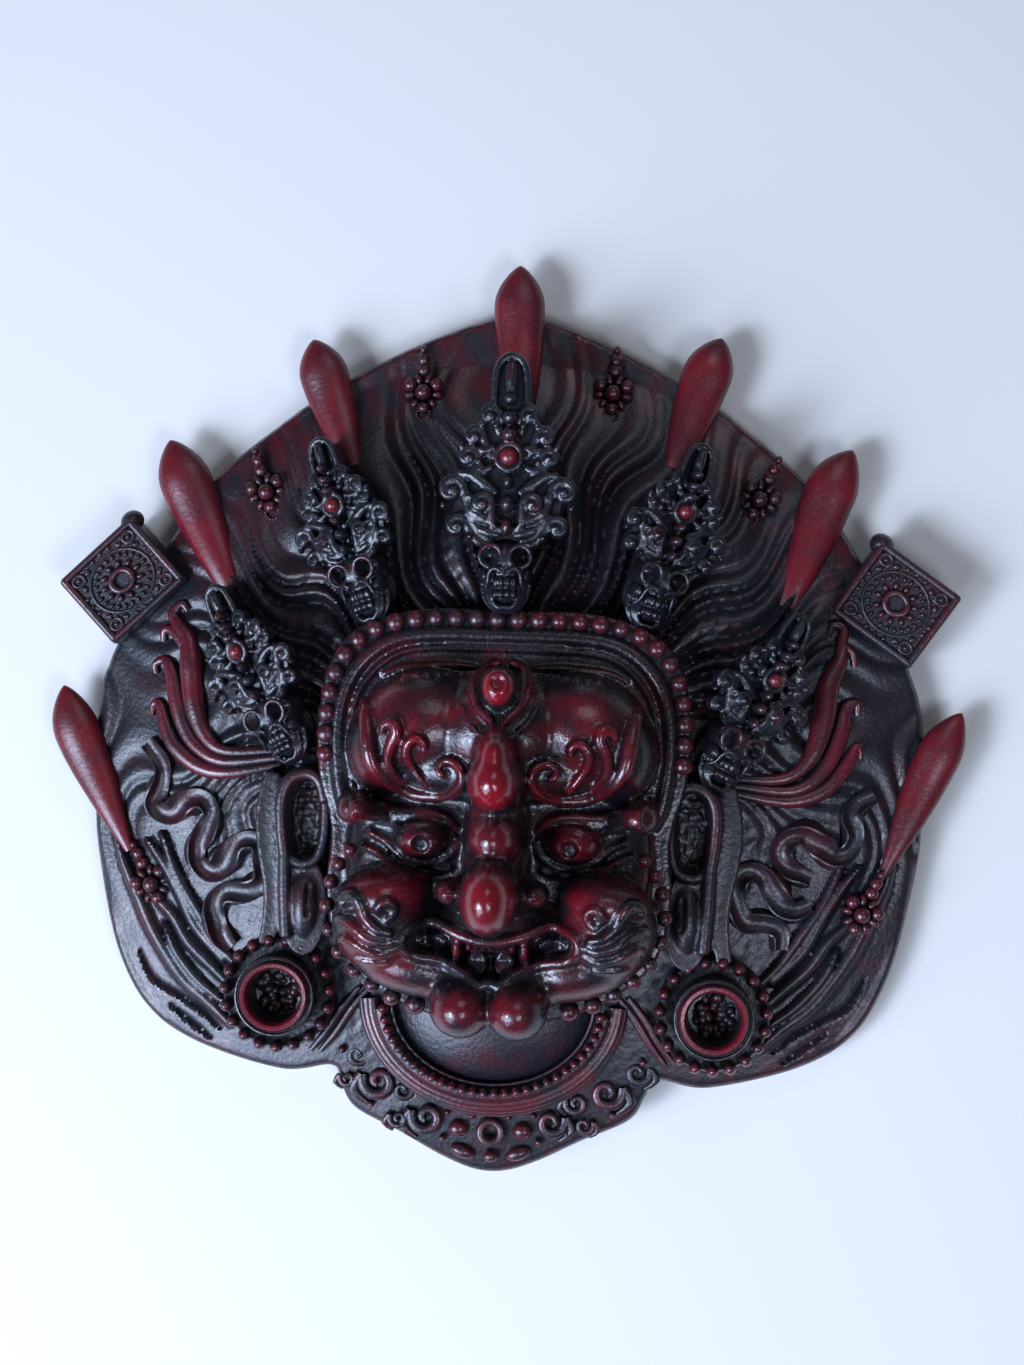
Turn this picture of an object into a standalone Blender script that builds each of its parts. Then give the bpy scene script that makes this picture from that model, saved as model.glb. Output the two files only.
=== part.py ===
"""A wrathful cham mask, cast in one piece of dark red resin as a wall ornament.

The mask lies on its flat back. X runs to the right of someone who faces it, Y runs up to the crown
and Z comes out of the face. The origin is under the middle of the mask, in the plane of its back.
The carving is laid out in carving units, 292 to the width of the mask, so that one unit is one
millimetre at the real size, and every part of the carving keeps its share of the width.
"""

import math

import bmesh
import bpy
import numpy as np
from mathutils import Matrix, Vector

# Driving sizes, in metres
MASK_WIDTH = 0.292
RIM_THICKNESS = 0.011
FAN_RISE = 0.017
FACE_WALL = 0.010
HOLLOW_WIDTH = 0.092
HOLLOW_HEIGHT = 0.112
SKIN_GRAIN = 0.0011
FRAME_BEAD_WIDTH = 0.0052
COLLAR_BEAD_WIDTH = 0.0040
EARRING_WIDTH = 0.0250
EARRING_HOLE_WIDTH = 0.0160

# The carving unit and the sizes above in carving units
CARVING_UNITS_ACROSS = 292
UNIT = MASK_WIDTH / CARVING_UNITS_ACROSS
RIM = RIM_THICKNESS / UNIT
RISE = FAN_RISE / UNIT
WALL = FACE_WALL / UNIT

# Heights above the back and places on the axis, in carving units
FACE_MIDDLE_Y = -20
FACE_REACH = 55
FAN_REACH = 80
BLOCK_TOP = 41
HOLLOW_PLACE = (0, -28, 0)
SUNK = -4
FAN_CELL = 1.5
STRAND_SIDES = 8
FINISHED_TRIANGLES = 9200
SIDES = (-1, 1)


def clear_scene():
    for thing in list(bpy.data.objects):
        bpy.data.objects.remove(thing, do_unlink=True)


def collection(name):
    group = bpy.data.collections.new(name)
    bpy.context.scene.collection.children.link(group)
    return group


def smooth(points, steps=6, closed=False):
    """A smooth line of points through the few given ones, with any further numbers carried along."""
    known = np.array(points, dtype=float)
    if closed:
        known = np.vstack([known[-1], known, known[0], known[1]])
    else:
        known = np.vstack([2 * known[0] - known[1], known, 2 * known[-1] - known[-2]])
    line = []
    for first, start, end, last in zip(known, known[1:], known[2:], known[3:]):
        for share in np.arange(steps) / steps:
            curve = 2 * start + (end - first) * share
            curve = curve + (2 * first - 5 * start + 4 * end - last) * share**2
            curve = curve + (3 * start - first - 3 * end + last) * share**3
            line.append(curve / 2)
    if not closed:
        line.append(known[-2])
    return np.array(line)


def step_between(low, high, value):
    share = np.clip((value - low) / (high - low), 0, 1)
    return share * share * (3 - 2 * share)


# The right half of the fan's edge, from under the top flame down to the point of the collar
FAN_EDGE = [(8, 130), (31, 121.5), (53, 110.5), (69, 100), (96, 78), (108, 62), (118, 44), (129, 20)]
FAN_EDGE += [(134, 2), (134.5, -32), (131, -57), (124.5, -81), (114.5, -98), (98, -108.5), (69, -115.5)]
FAN_EDGE += [(52, -113), (49, -119), (44, -127), (29, -134.5), (16, -141.8), (5, -146.2)]


def whole_edge():
    left_half = [(-x, y) for x, y in reversed(FAN_EDGE)]
    return smooth(FAN_EDGE + left_half, steps=8, closed=True)


def fan_height(x, y):
    """The fan swells from its rim to the face, and locks of hair wave across it."""
    across = np.abs(x)
    reach = np.hypot(x, y - FACE_MIDDLE_Y)
    turn = np.arctan2(across, y - FACE_MIDDLE_Y)
    outward = np.clip((reach - FACE_REACH) / FAN_REACH, 0, 1)
    swell = RIM + RISE * (1 - outward**1.5)
    sideways = step_between(1.75, 2.35, turn)
    sway = 0.45 * np.sin(reach / 7.5 + 5 * turn) + 0.2 * np.sin(reach / 4 - 9 * turn + x / 40)
    lock = (1 - sideways) * turn * 13 + sideways * (reach / 7.0 + 4) + sway
    beside = np.abs(2 * (lock - np.floor(lock)) - 1)
    depth = 2.6 - 2.0 * step_between(0.55, 1.0, outward) * (1 - sideways)
    return swell + depth * (1 - beside**2.2) - depth / 2


def inside(edge, x, y):
    """True for the points that lie within a closed edge."""
    found = np.zeros(x.shape, dtype=bool)
    for start, end in zip(edge, np.roll(edge, -1, axis=0)):
        if start[1] == end[1]:
            continue
        level = (start[1] > y) != (end[1] > y)
        crossing = start[0] + (y - start[1]) * (end[0] - start[0]) / (end[1] - start[1])
        found ^= level & (x < crossing)
    return found


def relief_slab(edge, height, cell):
    """A slab with the given edge, whose top follows a height and whose underside is flat."""
    low = edge.min(axis=0) - cell
    high = edge.max(axis=0) + cell
    size = high - low
    bm = bmesh.new()
    bmesh.ops.create_grid(bm, x_segments=int(size[0] / cell), y_segments=int(size[1] / cell), size=0.5)
    middle = (low + high) / 2
    for vert in bm.verts:
        vert.co.x = vert.co.x * size[0] + middle[0]
        vert.co.y = vert.co.y * size[1] + middle[1]
    faces = list(bm.faces)
    centres = np.array([face.calc_center_median()[:2] for face in faces])
    kept = inside(edge, centres[:, 0], centres[:, 1])
    outside = [face for face, keep in zip(faces, kept) if not keep]
    bmesh.ops.delete(bm, geom=outside, context="FACES")
    for vert in bm.verts:
        if vert.is_boundary:
            gaps = np.hypot(edge[:, 0] - vert.co.x, edge[:, 1] - vert.co.y)
            vert.co.x, vert.co.y = edge[gaps.argmin()]
    grid = list(bm.verts)
    places = np.array([vert.co[:2] for vert in grid])
    tops = height(places[:, 0], places[:, 1])
    for vert, top in zip(grid, tops):
        vert.co.z = top
    under = bmesh.ops.extrude_face_region(bm, geom=list(bm.faces), use_keep_orig=True)
    for item in under["geom"]:
        if isinstance(item, bmesh.types.BMVert):
            item.co.z = SUNK
    bmesh.ops.recalc_face_normals(bm, faces=bm.faces)
    return bm


def ball(bm, place, size, lean=0.0, sides=12):
    """An egg of clay: half sizes along X, Y and Z, leaning by an angle in the mask's plane."""
    at = Matrix.Translation(Vector(place)) @ Matrix.Rotation(lean, 4, "Z") @ Matrix.Diagonal((*size, 1))
    bmesh.ops.create_uvsphere(bm, u_segments=sides, v_segments=sides // 2 + 1, radius=1, matrix=at)


def peg(bm, place, radius, top, sides=16, narrowing=1.0):
    """A round post from below the back up to a height."""
    depth = top - SUNK
    at = Matrix.Translation(Vector((place[0], place[1], SUNK + depth / 2)))
    bmesh.ops.create_cone(
        bm, cap_ends=True, segments=sides, radius1=radius, radius2=radius * narrowing, depth=depth, matrix=at
    )


def to_mesh(bm, name, group):
    mesh = bpy.data.meshes.new(name)
    bm.to_mesh(mesh)
    bm.free()
    thing = bpy.data.objects.new(name, mesh)
    group.objects.link(thing)
    return thing


def strands(lines, name, group, flat=1.0):
    """Modelled strings of clay: each line is a list of x, y, z and half width, smoothed and tapered."""
    section = bpy.data.curves.new(name + "_section", "CURVE")
    ring = section.splines.new("POLY")
    ring.points.add(STRAND_SIDES - 1)
    for number, point in enumerate(ring.points):
        turn = math.tau * number / STRAND_SIDES
        point.co = (math.cos(turn), flat * math.sin(turn), 0, 1)
    ring.use_cyclic_u = True
    guide = bpy.data.objects.new(name + "_section", section)
    group.objects.link(guide)
    curve = bpy.data.curves.new(name, "CURVE")
    curve.dimensions = "3D"
    curve.twist_mode = "Z_UP"
    curve.bevel_mode = "OBJECT"
    curve.bevel_object = guide
    curve.use_fill_caps = True
    for line in lines:
        points = smooth(line, steps=4)
        spline = curve.splines.new("POLY")
        spline.points.add(len(points) - 1)
        for point, (x, y, z, half_width) in zip(spline.points, points):
            point.co = (x, y, z, 1)
            point.radius = half_width
    thing = bpy.data.objects.new(name, curve)
    group.objects.link(thing)
    return thing


def ring_line(middle, radius, half_width, points):
    """A ring of clay whose ends meet."""
    x, y, z = middle
    turns = np.linspace(0, math.tau, points)
    return [(x + radius * math.cos(turn), y + radius * math.sin(turn), z, half_width) for turn in turns]


# A curl winds a little more than once round, from its outer reach and thickness to its inner ones
CURL_TURNS = 1.1
CURL_REACH = (0.72, 0.12)
CURL_THICKNESS = (0.34, 0.24)


def curl(x, y, z, radius, hand):
    """A small volute: a spiral of clay that thins and rises towards its middle."""
    line = []
    for share in np.linspace(0, 1, 8):
        turn = hand * math.tau * CURL_TURNS * share
        away = radius * (CURL_REACH[0] + (CURL_REACH[1] - CURL_REACH[0]) * share)
        half_width = radius * (CURL_THICKNESS[0] + (CURL_THICKNESS[1] - CURL_THICKNESS[0]) * share)
        line.append((x + away * math.cos(turn), y + away * math.sin(turn), z + share, half_width))
    return line


# The lumps of the face: place, half sizes and lean. Those in the first list stand on both sides.
PAIRED_LUMPS = [
    ((24, -3.5, 48), (20.5, 18, 21), 0),
    ((38, -8, 46), (11.5, 17, 16), 0),
    ((22.4, -35.5, 55), (8.2, 5.6, 9), 0),
    ((42.5, -27.5, 53), (5.6, 8, 8), -25),
    ((33.5, -58, 54), (15, 19, 21), 8),
    ((13.2, -50.3, 68), (4.6, 4.3, 11), 0),
    ((8.6, -83.5, 68), (8.9, 8.9, 14), 0),
    ((26, -74, 50), (22, 11, 17), 12),
]
MIDDLE_LUMPS = [
    ((0, -2, 46), (46, 18, 16), 0),
    ((0, -42, 42), (48, 47, 12), 0),
    ((0, -8, 50), (13, 22, 22), 0),
    ((0, 9.6, 70), (5.6, 6.5, 8), 0),
    ((0, -15.5, 77), (7.7, 10.7, 11), 0),
    ((0, -34, 74), (7.6, 7.6, 10), 0),
    ((0, -51, 86), (8.4, 10.3, 14), 0),
    ((0, -36, 60), (10, 24, 17), 0),
    ((0, -51, 62), (15, 7, 12), 0),
    ((0, -64, 50), (29, 13, 19), 0),
    ((0, -78, 52), (24, 13, 18), 0),
]


def face_lumps():
    lumps = list(MIDDLE_LUMPS)
    for side in SIDES:
        lumps += [((side * x, y, z), size, side * lean) for (x, y, z), size, lean in PAIRED_LUMPS]
    return lumps


def skin_height(x, y):
    """The top of the face's lumps at a place, for what is carved on the skin."""
    top = float(BLOCK_TOP)
    for (cx, cy, cz), (rx, ry, rz), lean in face_lumps():
        angle = math.radians(lean)
        dx = (x - cx) * math.cos(angle) + (y - cy) * math.sin(angle)
        dy = (y - cy) * math.cos(angle) - (x - cx) * math.sin(angle)
        left = 1 - (dx / rx) ** 2 - (dy / ry) ** 2
        if left > 0:
            top = max(top, cz + rz * math.sqrt(left))
    return top


def on_skin(line, proud=0.5):
    """Lay a flat line of x, y and half width on the skin of the face."""
    return [(x, y, skin_height(x, y) + proud, half_width) for x, y, half_width in line]


def on_fan(line, proud=0.5):
    """Lay a flat line of x, y and half width on the fan."""
    points = []
    for x, y, half_width in line:
        points.append((x, y, float(fan_height(np.array([x]), np.array([y]))[0]) + proud, half_width))
    return points


def mirrored(line):
    return [(-point[0],) + tuple(point[1:]) for point in line]


# The block that the face stands on: the arch of the frame above, the jaw below
FACE_EDGE = [(0, 34.5), (24, 34.3), (41.5, 30.5), (53, 20.5), (57.5, 5), (57.5, -16), (53, -34), (53.5, -55)]
FACE_EDGE += [(50, -71), (40, -82), (26, -89.5), (12, -93)]
FRAME_BEAD_LINE = [(0, 32), (24, 31.8), (40, 28.5), (50.5, 19), (55, 5), (55.2, -15)]
JAW_BEAD_LINE = [(47, -41), (50.5, -50), (51, -60), (46, -72), (37, -80.5), (22, -87)]
BAND_LINE = [(0, 26), (24, 25.6), (36, 23), (45, 15), (49.5, 4), (50, -10), (48, -24)]


def face_block(bm):
    edge = FACE_EDGE + [(-x, y) for x, y in reversed(FACE_EDGE[1:])]
    line = smooth(edge, steps=3, closed=True)
    low = [bm.verts.new((x, y, SUNK)) for x, y in line]
    bottom = bm.faces.new(low)
    raised = bmesh.ops.extrude_face_region(bm, geom=[bottom], use_keep_orig=True)
    for vert in raised["geom"]:
        if isinstance(vert, bmesh.types.BMVert):
            vert.co.z = BLOCK_TOP


def along(line, pitch):
    """Places a pitch apart on a smooth line."""
    points = smooth(line, steps=12)
    lengths = np.concatenate([[0], np.cumsum(np.hypot(*np.diff(points[:, :2], axis=0).T))])
    count = max(2, int(round(lengths[-1] / pitch)))
    stops = (np.arange(count) + 0.5) * lengths[-1] / count
    places_x = np.interp(stops, lengths, points[:, 0])
    places_y = np.interp(stops, lengths, points[:, 1])
    return list(zip(places_x.tolist(), places_y.tolist()))


# Heights of the strings and teeth, and the pitch of the beads in bead half widths
FRAME_PITCH = 2.6
JAW_PITCH = 3.2
JAW_BEAD_Z = 54
BAND_HALF_WIDTH = 1.9
MOUTH_LIP_Z = 68.5
LIP_HALF_WIDTH = 1.5
TOOTH_Z = 62
FANG = ((11.6, -66.5), (1.8, 4.5, 6.0))
TOOTH_PITCH = 3.3
TOOTH = (1.7, 2.6, 5.0)


def frame(lines):
    bm = bmesh.new()
    bead = FRAME_BEAD_WIDTH / UNIT / 2
    for side in SIDES:
        for x, y in along(FRAME_BEAD_LINE, FRAME_PITCH * bead):
            ball(bm, (side * x, y, BLOCK_TOP + 1), (bead, bead, bead), sides=8)
        for x, y in along(JAW_BEAD_LINE, JAW_PITCH * bead):
            peg(bm, (side * x, y), bead, JAW_BEAD_Z - bead, sides=8)
            ball(bm, (side * x, y, JAW_BEAD_Z - bead), (bead, bead, bead), sides=8)
        lines.append([(side * x, y, BLOCK_TOP + 1, BAND_HALF_WIDTH) for x, y in BAND_LINE])
    return bm


# Lines carved on the right half of the face: x, y and half width
BROW = [
    [(42, 4.5, 1.0), (41, -3, 2.0), (38.5, -12, 2.2), (32, -19, 2.1), (24, -22.3, 2.0), (16, -22, 1.8)],
    [(16, -22, 1.8), (11.5, -18.5, 1.7), (13.5, -13.2, 1.6), (17.5, -13.4, 1.4), (16.8, -16, 1.2)],
    [(31, -18, 1.5), (33, -12, 1.7), (31.5, -6, 1.6), (31.5, -2, 1.5), (35, -2.5, 1.2)],
    [(20, -20, 1.2), (23.5, -15, 1.4), (26.5, -9, 1.4), (25, -5.6, 1.3), (22, -8, 1.1)],
]
LIDS = [
    [(40, -27, 4.0), (33, -29.5, 3.4), (27, -28, 2.6), (20, -28.5, 2.2), (13, -31.5, 1.6)],
    [(12.5, -33, 1.0), (14, -40, 1.2), (21, -44, 1.3), (29, -42.5, 1.3), (35, -36, 1.1)],
    [(10.5, -37, 1.0), (14, -44.5, 1.2), (22, -48, 1.3), (32, -45, 1.2), (39, -38, 1.0)],
]
WHISKERS = [
    [(43, -52, 1.1), (41, -55, 1.3), (40, -58.5, 1.4), (36, -62.5, 1.5), (30, -63.5, 1.2)],
    [(34, -54.2, 1.1), (36.5, -56.5, 1.2), (34, -59.8, 1.2), (29, -60.5, 1.0)],
    [(46.5, -61.5, 1.0), (42, -63.5, 1.3), (36, -66.5, 1.3), (30, -65.5, 1.0)],
    [(43.5, -67.5, 1.0), (38, -69.8, 1.2), (30, -68, 1.0)],
]
THIRD_EYE_LID = [(2, 16.5, 1.2), (7.6, 8, 1.5), (2.5, -1, 1.2)]
HAIRLINE = [(8, 15.5, 0.9), (25, 14, 0.9), (38, 13, 0.9)]
MOUTH_TOP = [(26.4, -65), (23.5, -61.5), (17, -60.2), (9.3, -63), (0, -64.8)]
MOUTH_BOTTOM = [(0, -76.8), (3, -77.5), (7.4, -74.5), (15, -71.4), (23.4, -69.4)]


def mouth_edge():
    half = MOUTH_BOTTOM[1:] + MOUTH_TOP[:-1]
    left = [(-x, y) for x, y in reversed(half)]
    return smooth(MOUTH_TOP[-1:] + left + MOUTH_BOTTOM[:1] + half, steps=5, closed=True)


def face(lines):
    bm = bmesh.new()
    face_block(bm)
    for place, size, lean in face_lumps():
        ball(bm, place, size, math.radians(lean), sides=24)
    for carved in BROW + LIDS + WHISKERS:
        lines.append(on_skin(carved))
        lines.append(on_skin(mirrored(carved)))
    for carved in (THIRD_EYE_LID, HAIRLINE):
        lines.append(on_skin(carved))
        lines.append(on_skin(mirrored(carved)))
    lines.append([(x, y, MOUTH_LIP_Z, LIP_HALF_WIDTH) for x, y in mouth_edge()[::3]])
    (fang_x, fang_y), fang_size = FANG
    for side in SIDES:
        ball(bm, (side * fang_x, fang_y, TOOTH_Z), fang_size, sides=8)
    for number in range(-2, 3):
        ball(bm, (number * TOOTH_PITCH, fang_y, TOOTH_Z), TOOTH, sides=8)
    return bm


# The crown: foot of each skull, lean, turn away from the middle, and the jewel's width and height
CROWN = [
    ((0.8, 34.0, 38.0), 0.0, 0.0, 1.0, 1.0),
    ((-37.3, 30.7, 31.0), -18.0, -22.0, 0.80, 0.66),
    ((39.9, 31.2, 31.0), 16.0, 22.0, 0.80, 0.66),
    ((-60.5, -12.8, 29.0), -26.5, -26.0, 0.80, 0.68),
    ((62.6, -16.7, 29.0), 25.0, 26.0, 0.80, 0.68),
]
SKULL_TOP = 20
SKULL_BALLS = [((0, 14, 6), (8, 8.5, 11)), ((0, 5, 5), (7, 5.5, 8))]
SKULL_EYE = (4.4, 16.0, 15.0)
SKULL_EYE_RADIUS = 3.2
SKULL_POST_RADIUS = 8
JEWEL_FACE = 11
WEB_DROP = 10
CABOCHON_PLACE = 46
CABOCHON_RADIUS = 4.6
JEWEL_EDGE = [(0, 20), (8, 20), (14, 25), (18, 35), (13, 47), (10, 54), (5.5, 62), (5, 74), (0, 79)]
JEWEL_CURLS = [(5.5, 58.5, 3.4), (10, 52, 3.2), (12, 46, 3.0), (17, 36, 4.2), (15, 25, 3.6), (7, 31.5, 3.0)]
JEWEL_BEADS = [(68, 2.0), (63.6, 2.2), (58.8, 2.5), (53.9, 2.5), (38.3, 2.4), (31.4, 2.5), (24.6, 1.8)]


def drop_straight(bm, face):
    """Close a face into a solid by a straight drop to below the fan's surface."""
    dropped = bmesh.ops.extrude_face_region(bm, geom=[face], use_keep_orig=True)
    for item in dropped["geom"]:
        if isinstance(item, bmesh.types.BMVert):
            item.co.z = SUNK


def crown_piece(lines, foot, lean, turn, wide, tall):
    """A skull with a tall scrolled jewel on it, standing proud of the fan on a solid web."""
    tilt = Matrix.Rotation(-math.radians(lean), 4, "Z") @ Matrix.Rotation(math.radians(turn), 4, "Y")
    at = Matrix.Translation(Vector(foot)) @ tilt
    own = bmesh.new()

    def along_jewel(v):
        return SKULL_TOP + (v - SKULL_TOP) * tall

    for place, size in SKULL_BALLS:
        ball(own, place, size, sides=14)
    cabochon = CABOCHON_RADIUS * wide
    ball(own, (0, along_jewel(CABOCHON_PLACE), JEWEL_FACE + 2), (cabochon, cabochon, cabochon), sides=12)
    for v, radius in JEWEL_BEADS:
        ball(own, (0, along_jewel(v), JEWEL_FACE), (radius * wide, radius * wide, radius * 2), sides=8)
    own_lines = []
    for hand in SIDES:
        eye_x, eye_y, eye_z = SKULL_EYE
        own_lines.append(ring_line((hand * eye_x, eye_y, eye_z), SKULL_EYE_RADIUS, 1.0, 8))
        for u, v, radius in JEWEL_CURLS:
            own_lines.append(curl(hand * u * wide, along_jewel(v), JEWEL_FACE, radius * wide, hand))
    for vert in own.verts:
        vert.co = at @ vert.co
    half_edge = [(u * wide, along_jewel(v)) for u, v in JEWEL_EDGE]
    edge = half_edge + [(-u, v) for u, v in reversed(half_edge[1:-1])]
    web = own.faces.new([own.verts.new(at @ Vector((u, v, WEB_DROP))) for u, v in edge])
    drop_straight(own, web)
    skull_middle = at @ Vector((0, SKULL_TOP / 2, 4))
    peg(own, skull_middle, SKULL_POST_RADIUS, skull_middle.z, sides=14)
    for line in own_lines:
        lines.append([(*(at @ Vector(point[:3])), point[3]) for point in line])
    return own


def crown(lines):
    return [crown_piece(lines, *piece) for piece in CROWN]


# Petal flames on the rim: tip, widest place, foot, and half width
FLAMES = [
    ((0, 147.8), (0, 131), (1.5, 97), 8.1),
    ((-66.8, 121.8), (-61.8, 108), (-54, 80), 7.7),
    ((65.8, 125.4), (60.8, 111), (53.5, 82), 7.9),
    ((-112.9, 87.8), (-106.6, 74), (-91.8, 38), 8.5),
    ((108.6, 90.4), (102.4, 78), (90.5, 39), 8.3),
    ((-146.2, 6.5), (-140.6, -8), (-121, -46.5), 6.8),
    ((146.2, 7.5), (138.6, -8), (122, -46.5), 7.0),
]
FLAME_Z = 12
FLAME_FLATNESS = 0.72
FLAME_FOOT_RISE = 6
FLAME_WIDTHS = [(0, 0.05), (0.2, 0.58), (0.9, 1.0), (1.5, 0.72), (2.0, 0.3)]


def flame(tip, wide, foot, half_width):
    """A smooth petal, rounded to a point at its tip and drawn out to a narrow stem."""
    line = []
    for share, width in FLAME_WIDTHS:
        start, end = (tip, wide) if share <= 1 else (wide, foot)
        part = share if share <= 1 else share - 1
        x = start[0] + (end[0] - start[0]) * part
        y = start[1] + (end[1] - start[1]) * part
        rise = FLAME_FOOT_RISE * max(0, share - 1)
        line.append((x, y, FLAME_Z + rise, half_width * width))
    return line


# Square rosette plaques on the fan's shoulders: middle and lean of each
PLAQUES = [((-125.4, 41.0), -1.2), ((122.8, 41.0), 10.5)]
PLAQUE_HALF_DIAGONAL = 20.8
PLAQUE_LOW = 5
PLAQUE_TOP = 20
PLAQUE_RINGS = [(3.8, 1.9), (8.6, 1.1)]
PLAQUE_BORDER = 1.2
PLAQUE_KNOB = (3.8, 3.8, 5.0)


def plaque(lines, middle, lean):
    bm = bmesh.new()
    side = PLAQUE_HALF_DIAGONAL * math.sqrt(2)
    turn = Matrix.Rotation(math.radians(lean) + math.pi / 4, 4, "Z")
    core = Matrix.Translation(Vector((*middle, (PLAQUE_LOW + PLAQUE_TOP) / 2)))
    size = Matrix.Diagonal((side, side, PLAQUE_TOP - PLAQUE_LOW, 1))
    bmesh.ops.create_cube(bm, size=1, matrix=core @ turn @ size)
    place = Matrix.Translation(Vector((*middle, PLAQUE_TOP + PLAQUE_BORDER / 2))) @ turn
    half = side / 2 - PLAQUE_BORDER
    square = [(-half, -half), (half, -half), (half, half), (-half, half)]
    own_lines = [ring_line((0, 0, 0), radius, thick, 14) for radius, thick in PLAQUE_RINGS]
    for start, end in zip(square, square[1:] + square[:1]):
        own_lines.append([(*start, 0, PLAQUE_BORDER), (*end, 0, PLAQUE_BORDER)])
    for line in own_lines:
        lines.append([(*(place @ Vector(point[:3])), point[3]) for point in line])
    knob = place @ Vector((half, half, -PLAQUE_KNOB[2]))
    ball(bm, knob, PLAQUE_KNOB, sides=10)
    return bm


# Ears, straps, lobes and earrings: the right ear, in carving units
EAR_MASSES = [(60, -33, 8, 14, 33), (61, -57, 6, 13, 34)]
EAR_HELIX = [(53.5, -26), (59.5, -19.5), (66.5, -24), (67, -36), (62, -45.5), (55.5, -46.5)]
EAR_LOBE = [(57, -44), (55.5, -56), (56.5, -68), (64.5, -69), (66.5, -56), (66, -42)]
STRAP = [(71, -20, 2.0), (72.5, -31, 2.0), (69.8, -46, 2.0), (69, -58, 2.0), (70.8, -72, 2.0)]
EARRING_PLACE = (68.5, -89)
EARRING_TOP = 41
EARRING_FLOOR = 24
EARRING_FOOT_TOP = 30
EARRING_FOOT_BORDER = 7
EARRING_BEADS = 19
EARRING_BEAD = (1.9, 1.9, 4.0)
EARRING_BEAD_GAP = 4.2


def ear(lines, side):
    bm = bmesh.new()
    for x, y, half_x, half_y, top in EAR_MASSES:
        ball(bm, (side * x, y, 14), (half_x, half_y, top - 14), sides=16)
        peg(bm, (side * x, y), half_x * 0.8, top - 6, sides=12)
    lines.append([(side * x, y, 37, 2.0) for x, y in EAR_HELIX])
    lines.append([(side * x, y, 30, 2.4) for x, y in EAR_HELIX])
    lines.append([(side * x, y, 32, 1.8) for x, y in EAR_LOBE])
    lines.append([(side * x, y, 30, half_width) for x, y, half_width in STRAP])
    lines.append([(side * x, y, 26, half_width + 0.6) for x, y, half_width in STRAP])
    return bm


def earring(side):
    bm = bmesh.new()
    x, y = EARRING_PLACE
    outer = EARRING_WIDTH / UNIT / 2
    peg(bm, (side * x, y), outer + EARRING_FOOT_BORDER, EARRING_FOOT_TOP, sides=28, narrowing=0.96)
    peg(bm, (side * x, y), outer, EARRING_TOP, sides=28, narrowing=0.97)
    away = outer + EARRING_BEAD_GAP
    for number in range(EARRING_BEADS):
        turn = math.tau * number / EARRING_BEADS
        spot = (side * x + away * math.cos(turn), y + away * math.sin(turn), EARRING_FOOT_TOP + 1)
        ball(bm, spot, EARRING_BEAD, sides=6)
    return bm


# Neck, collar beads, plain band and the scrolled border with its medallion
COLLAR_MIDDLE = (0, -88)
NECK = (33.0, 26.5, 27.0)
NECK_Z = 14
COLLAR_BEAD_ARC = (34.5, 29.0)
COLLAR_BEAD_Z = 30
COLLAR_PITCH = 2.1
COLLAR_BANDS = [(38.5, 33.2, 28, 2.2), (39.0, 33.7, 22, 3.4)]
COLLAR_CURLS = [(19.5, -126.5, 5.0), (35.5, -117, 5.0), (27, -123, 3.4), (44, -112, 3.6)]
COLLAR_STRAP = [(39.5, -86, 2.2), (45, -93, 2.6), (51, -101.5, 2.4), (58, -108, 1.6)]
BORDER_DROPS = [((10.3, -129.5, 17.5), (3.2, 2.6, 4.5)), ((8.5, -137.5, 15), (4.2, 2.4, 4.5))]
BORDER_POINT = ((0, -139.6, 14.5), (2.6, 2.2, 4.5))
MEDALLION_MIDDLE = (0, -130.5, 19)
MEDALLION_RADIUS = 5
MEDALLION_HALF_WIDTH = 1.7


def arc_below(radius_x, radius_y, first, points):
    """Places on the lower half of the collar's oval, from one end to the other."""
    x, y = COLLAR_MIDDLE
    turns = np.radians(np.linspace(-first, first - 180, points))
    return [(x + radius_x * math.cos(turn), y + radius_y * math.sin(turn)) for turn in turns]


def collar(lines):
    bm = bmesh.new()
    ball(bm, (*COLLAR_MIDDLE, NECK_Z), NECK, sides=32)
    bead = COLLAR_BEAD_WIDTH / UNIT / 2
    for spot in along(arc_below(*COLLAR_BEAD_ARC, 6, 9), COLLAR_PITCH * bead):
        ball(bm, (*spot, COLLAR_BEAD_Z), (bead, bead, 2.5 * bead), sides=6)
    for radius_x, radius_y, z, half_width in COLLAR_BANDS:
        lines.append([(*spot, z, half_width) for spot in arc_below(radius_x, radius_y, 2, 13)])
    for side in SIDES:
        for x, y, radius in COLLAR_CURLS:
            height = float(fan_height(np.array([x]), np.array([y]))[0]) + 1
            lines.append(curl(side * x, y, height, radius, side))
        for (x, y, z), size in BORDER_DROPS:
            ball(bm, (side * x, y, z), size, sides=8)
        lines.append(on_fan(COLLAR_STRAP if side > 0 else mirrored(COLLAR_STRAP), proud=1.5))
    lines.append(ring_line(MEDALLION_MIDDLE, MEDALLION_RADIUS, MEDALLION_HALF_WIDTH, 12))
    ball(bm, *BORDER_POINT, sides=8)
    return bm


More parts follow.
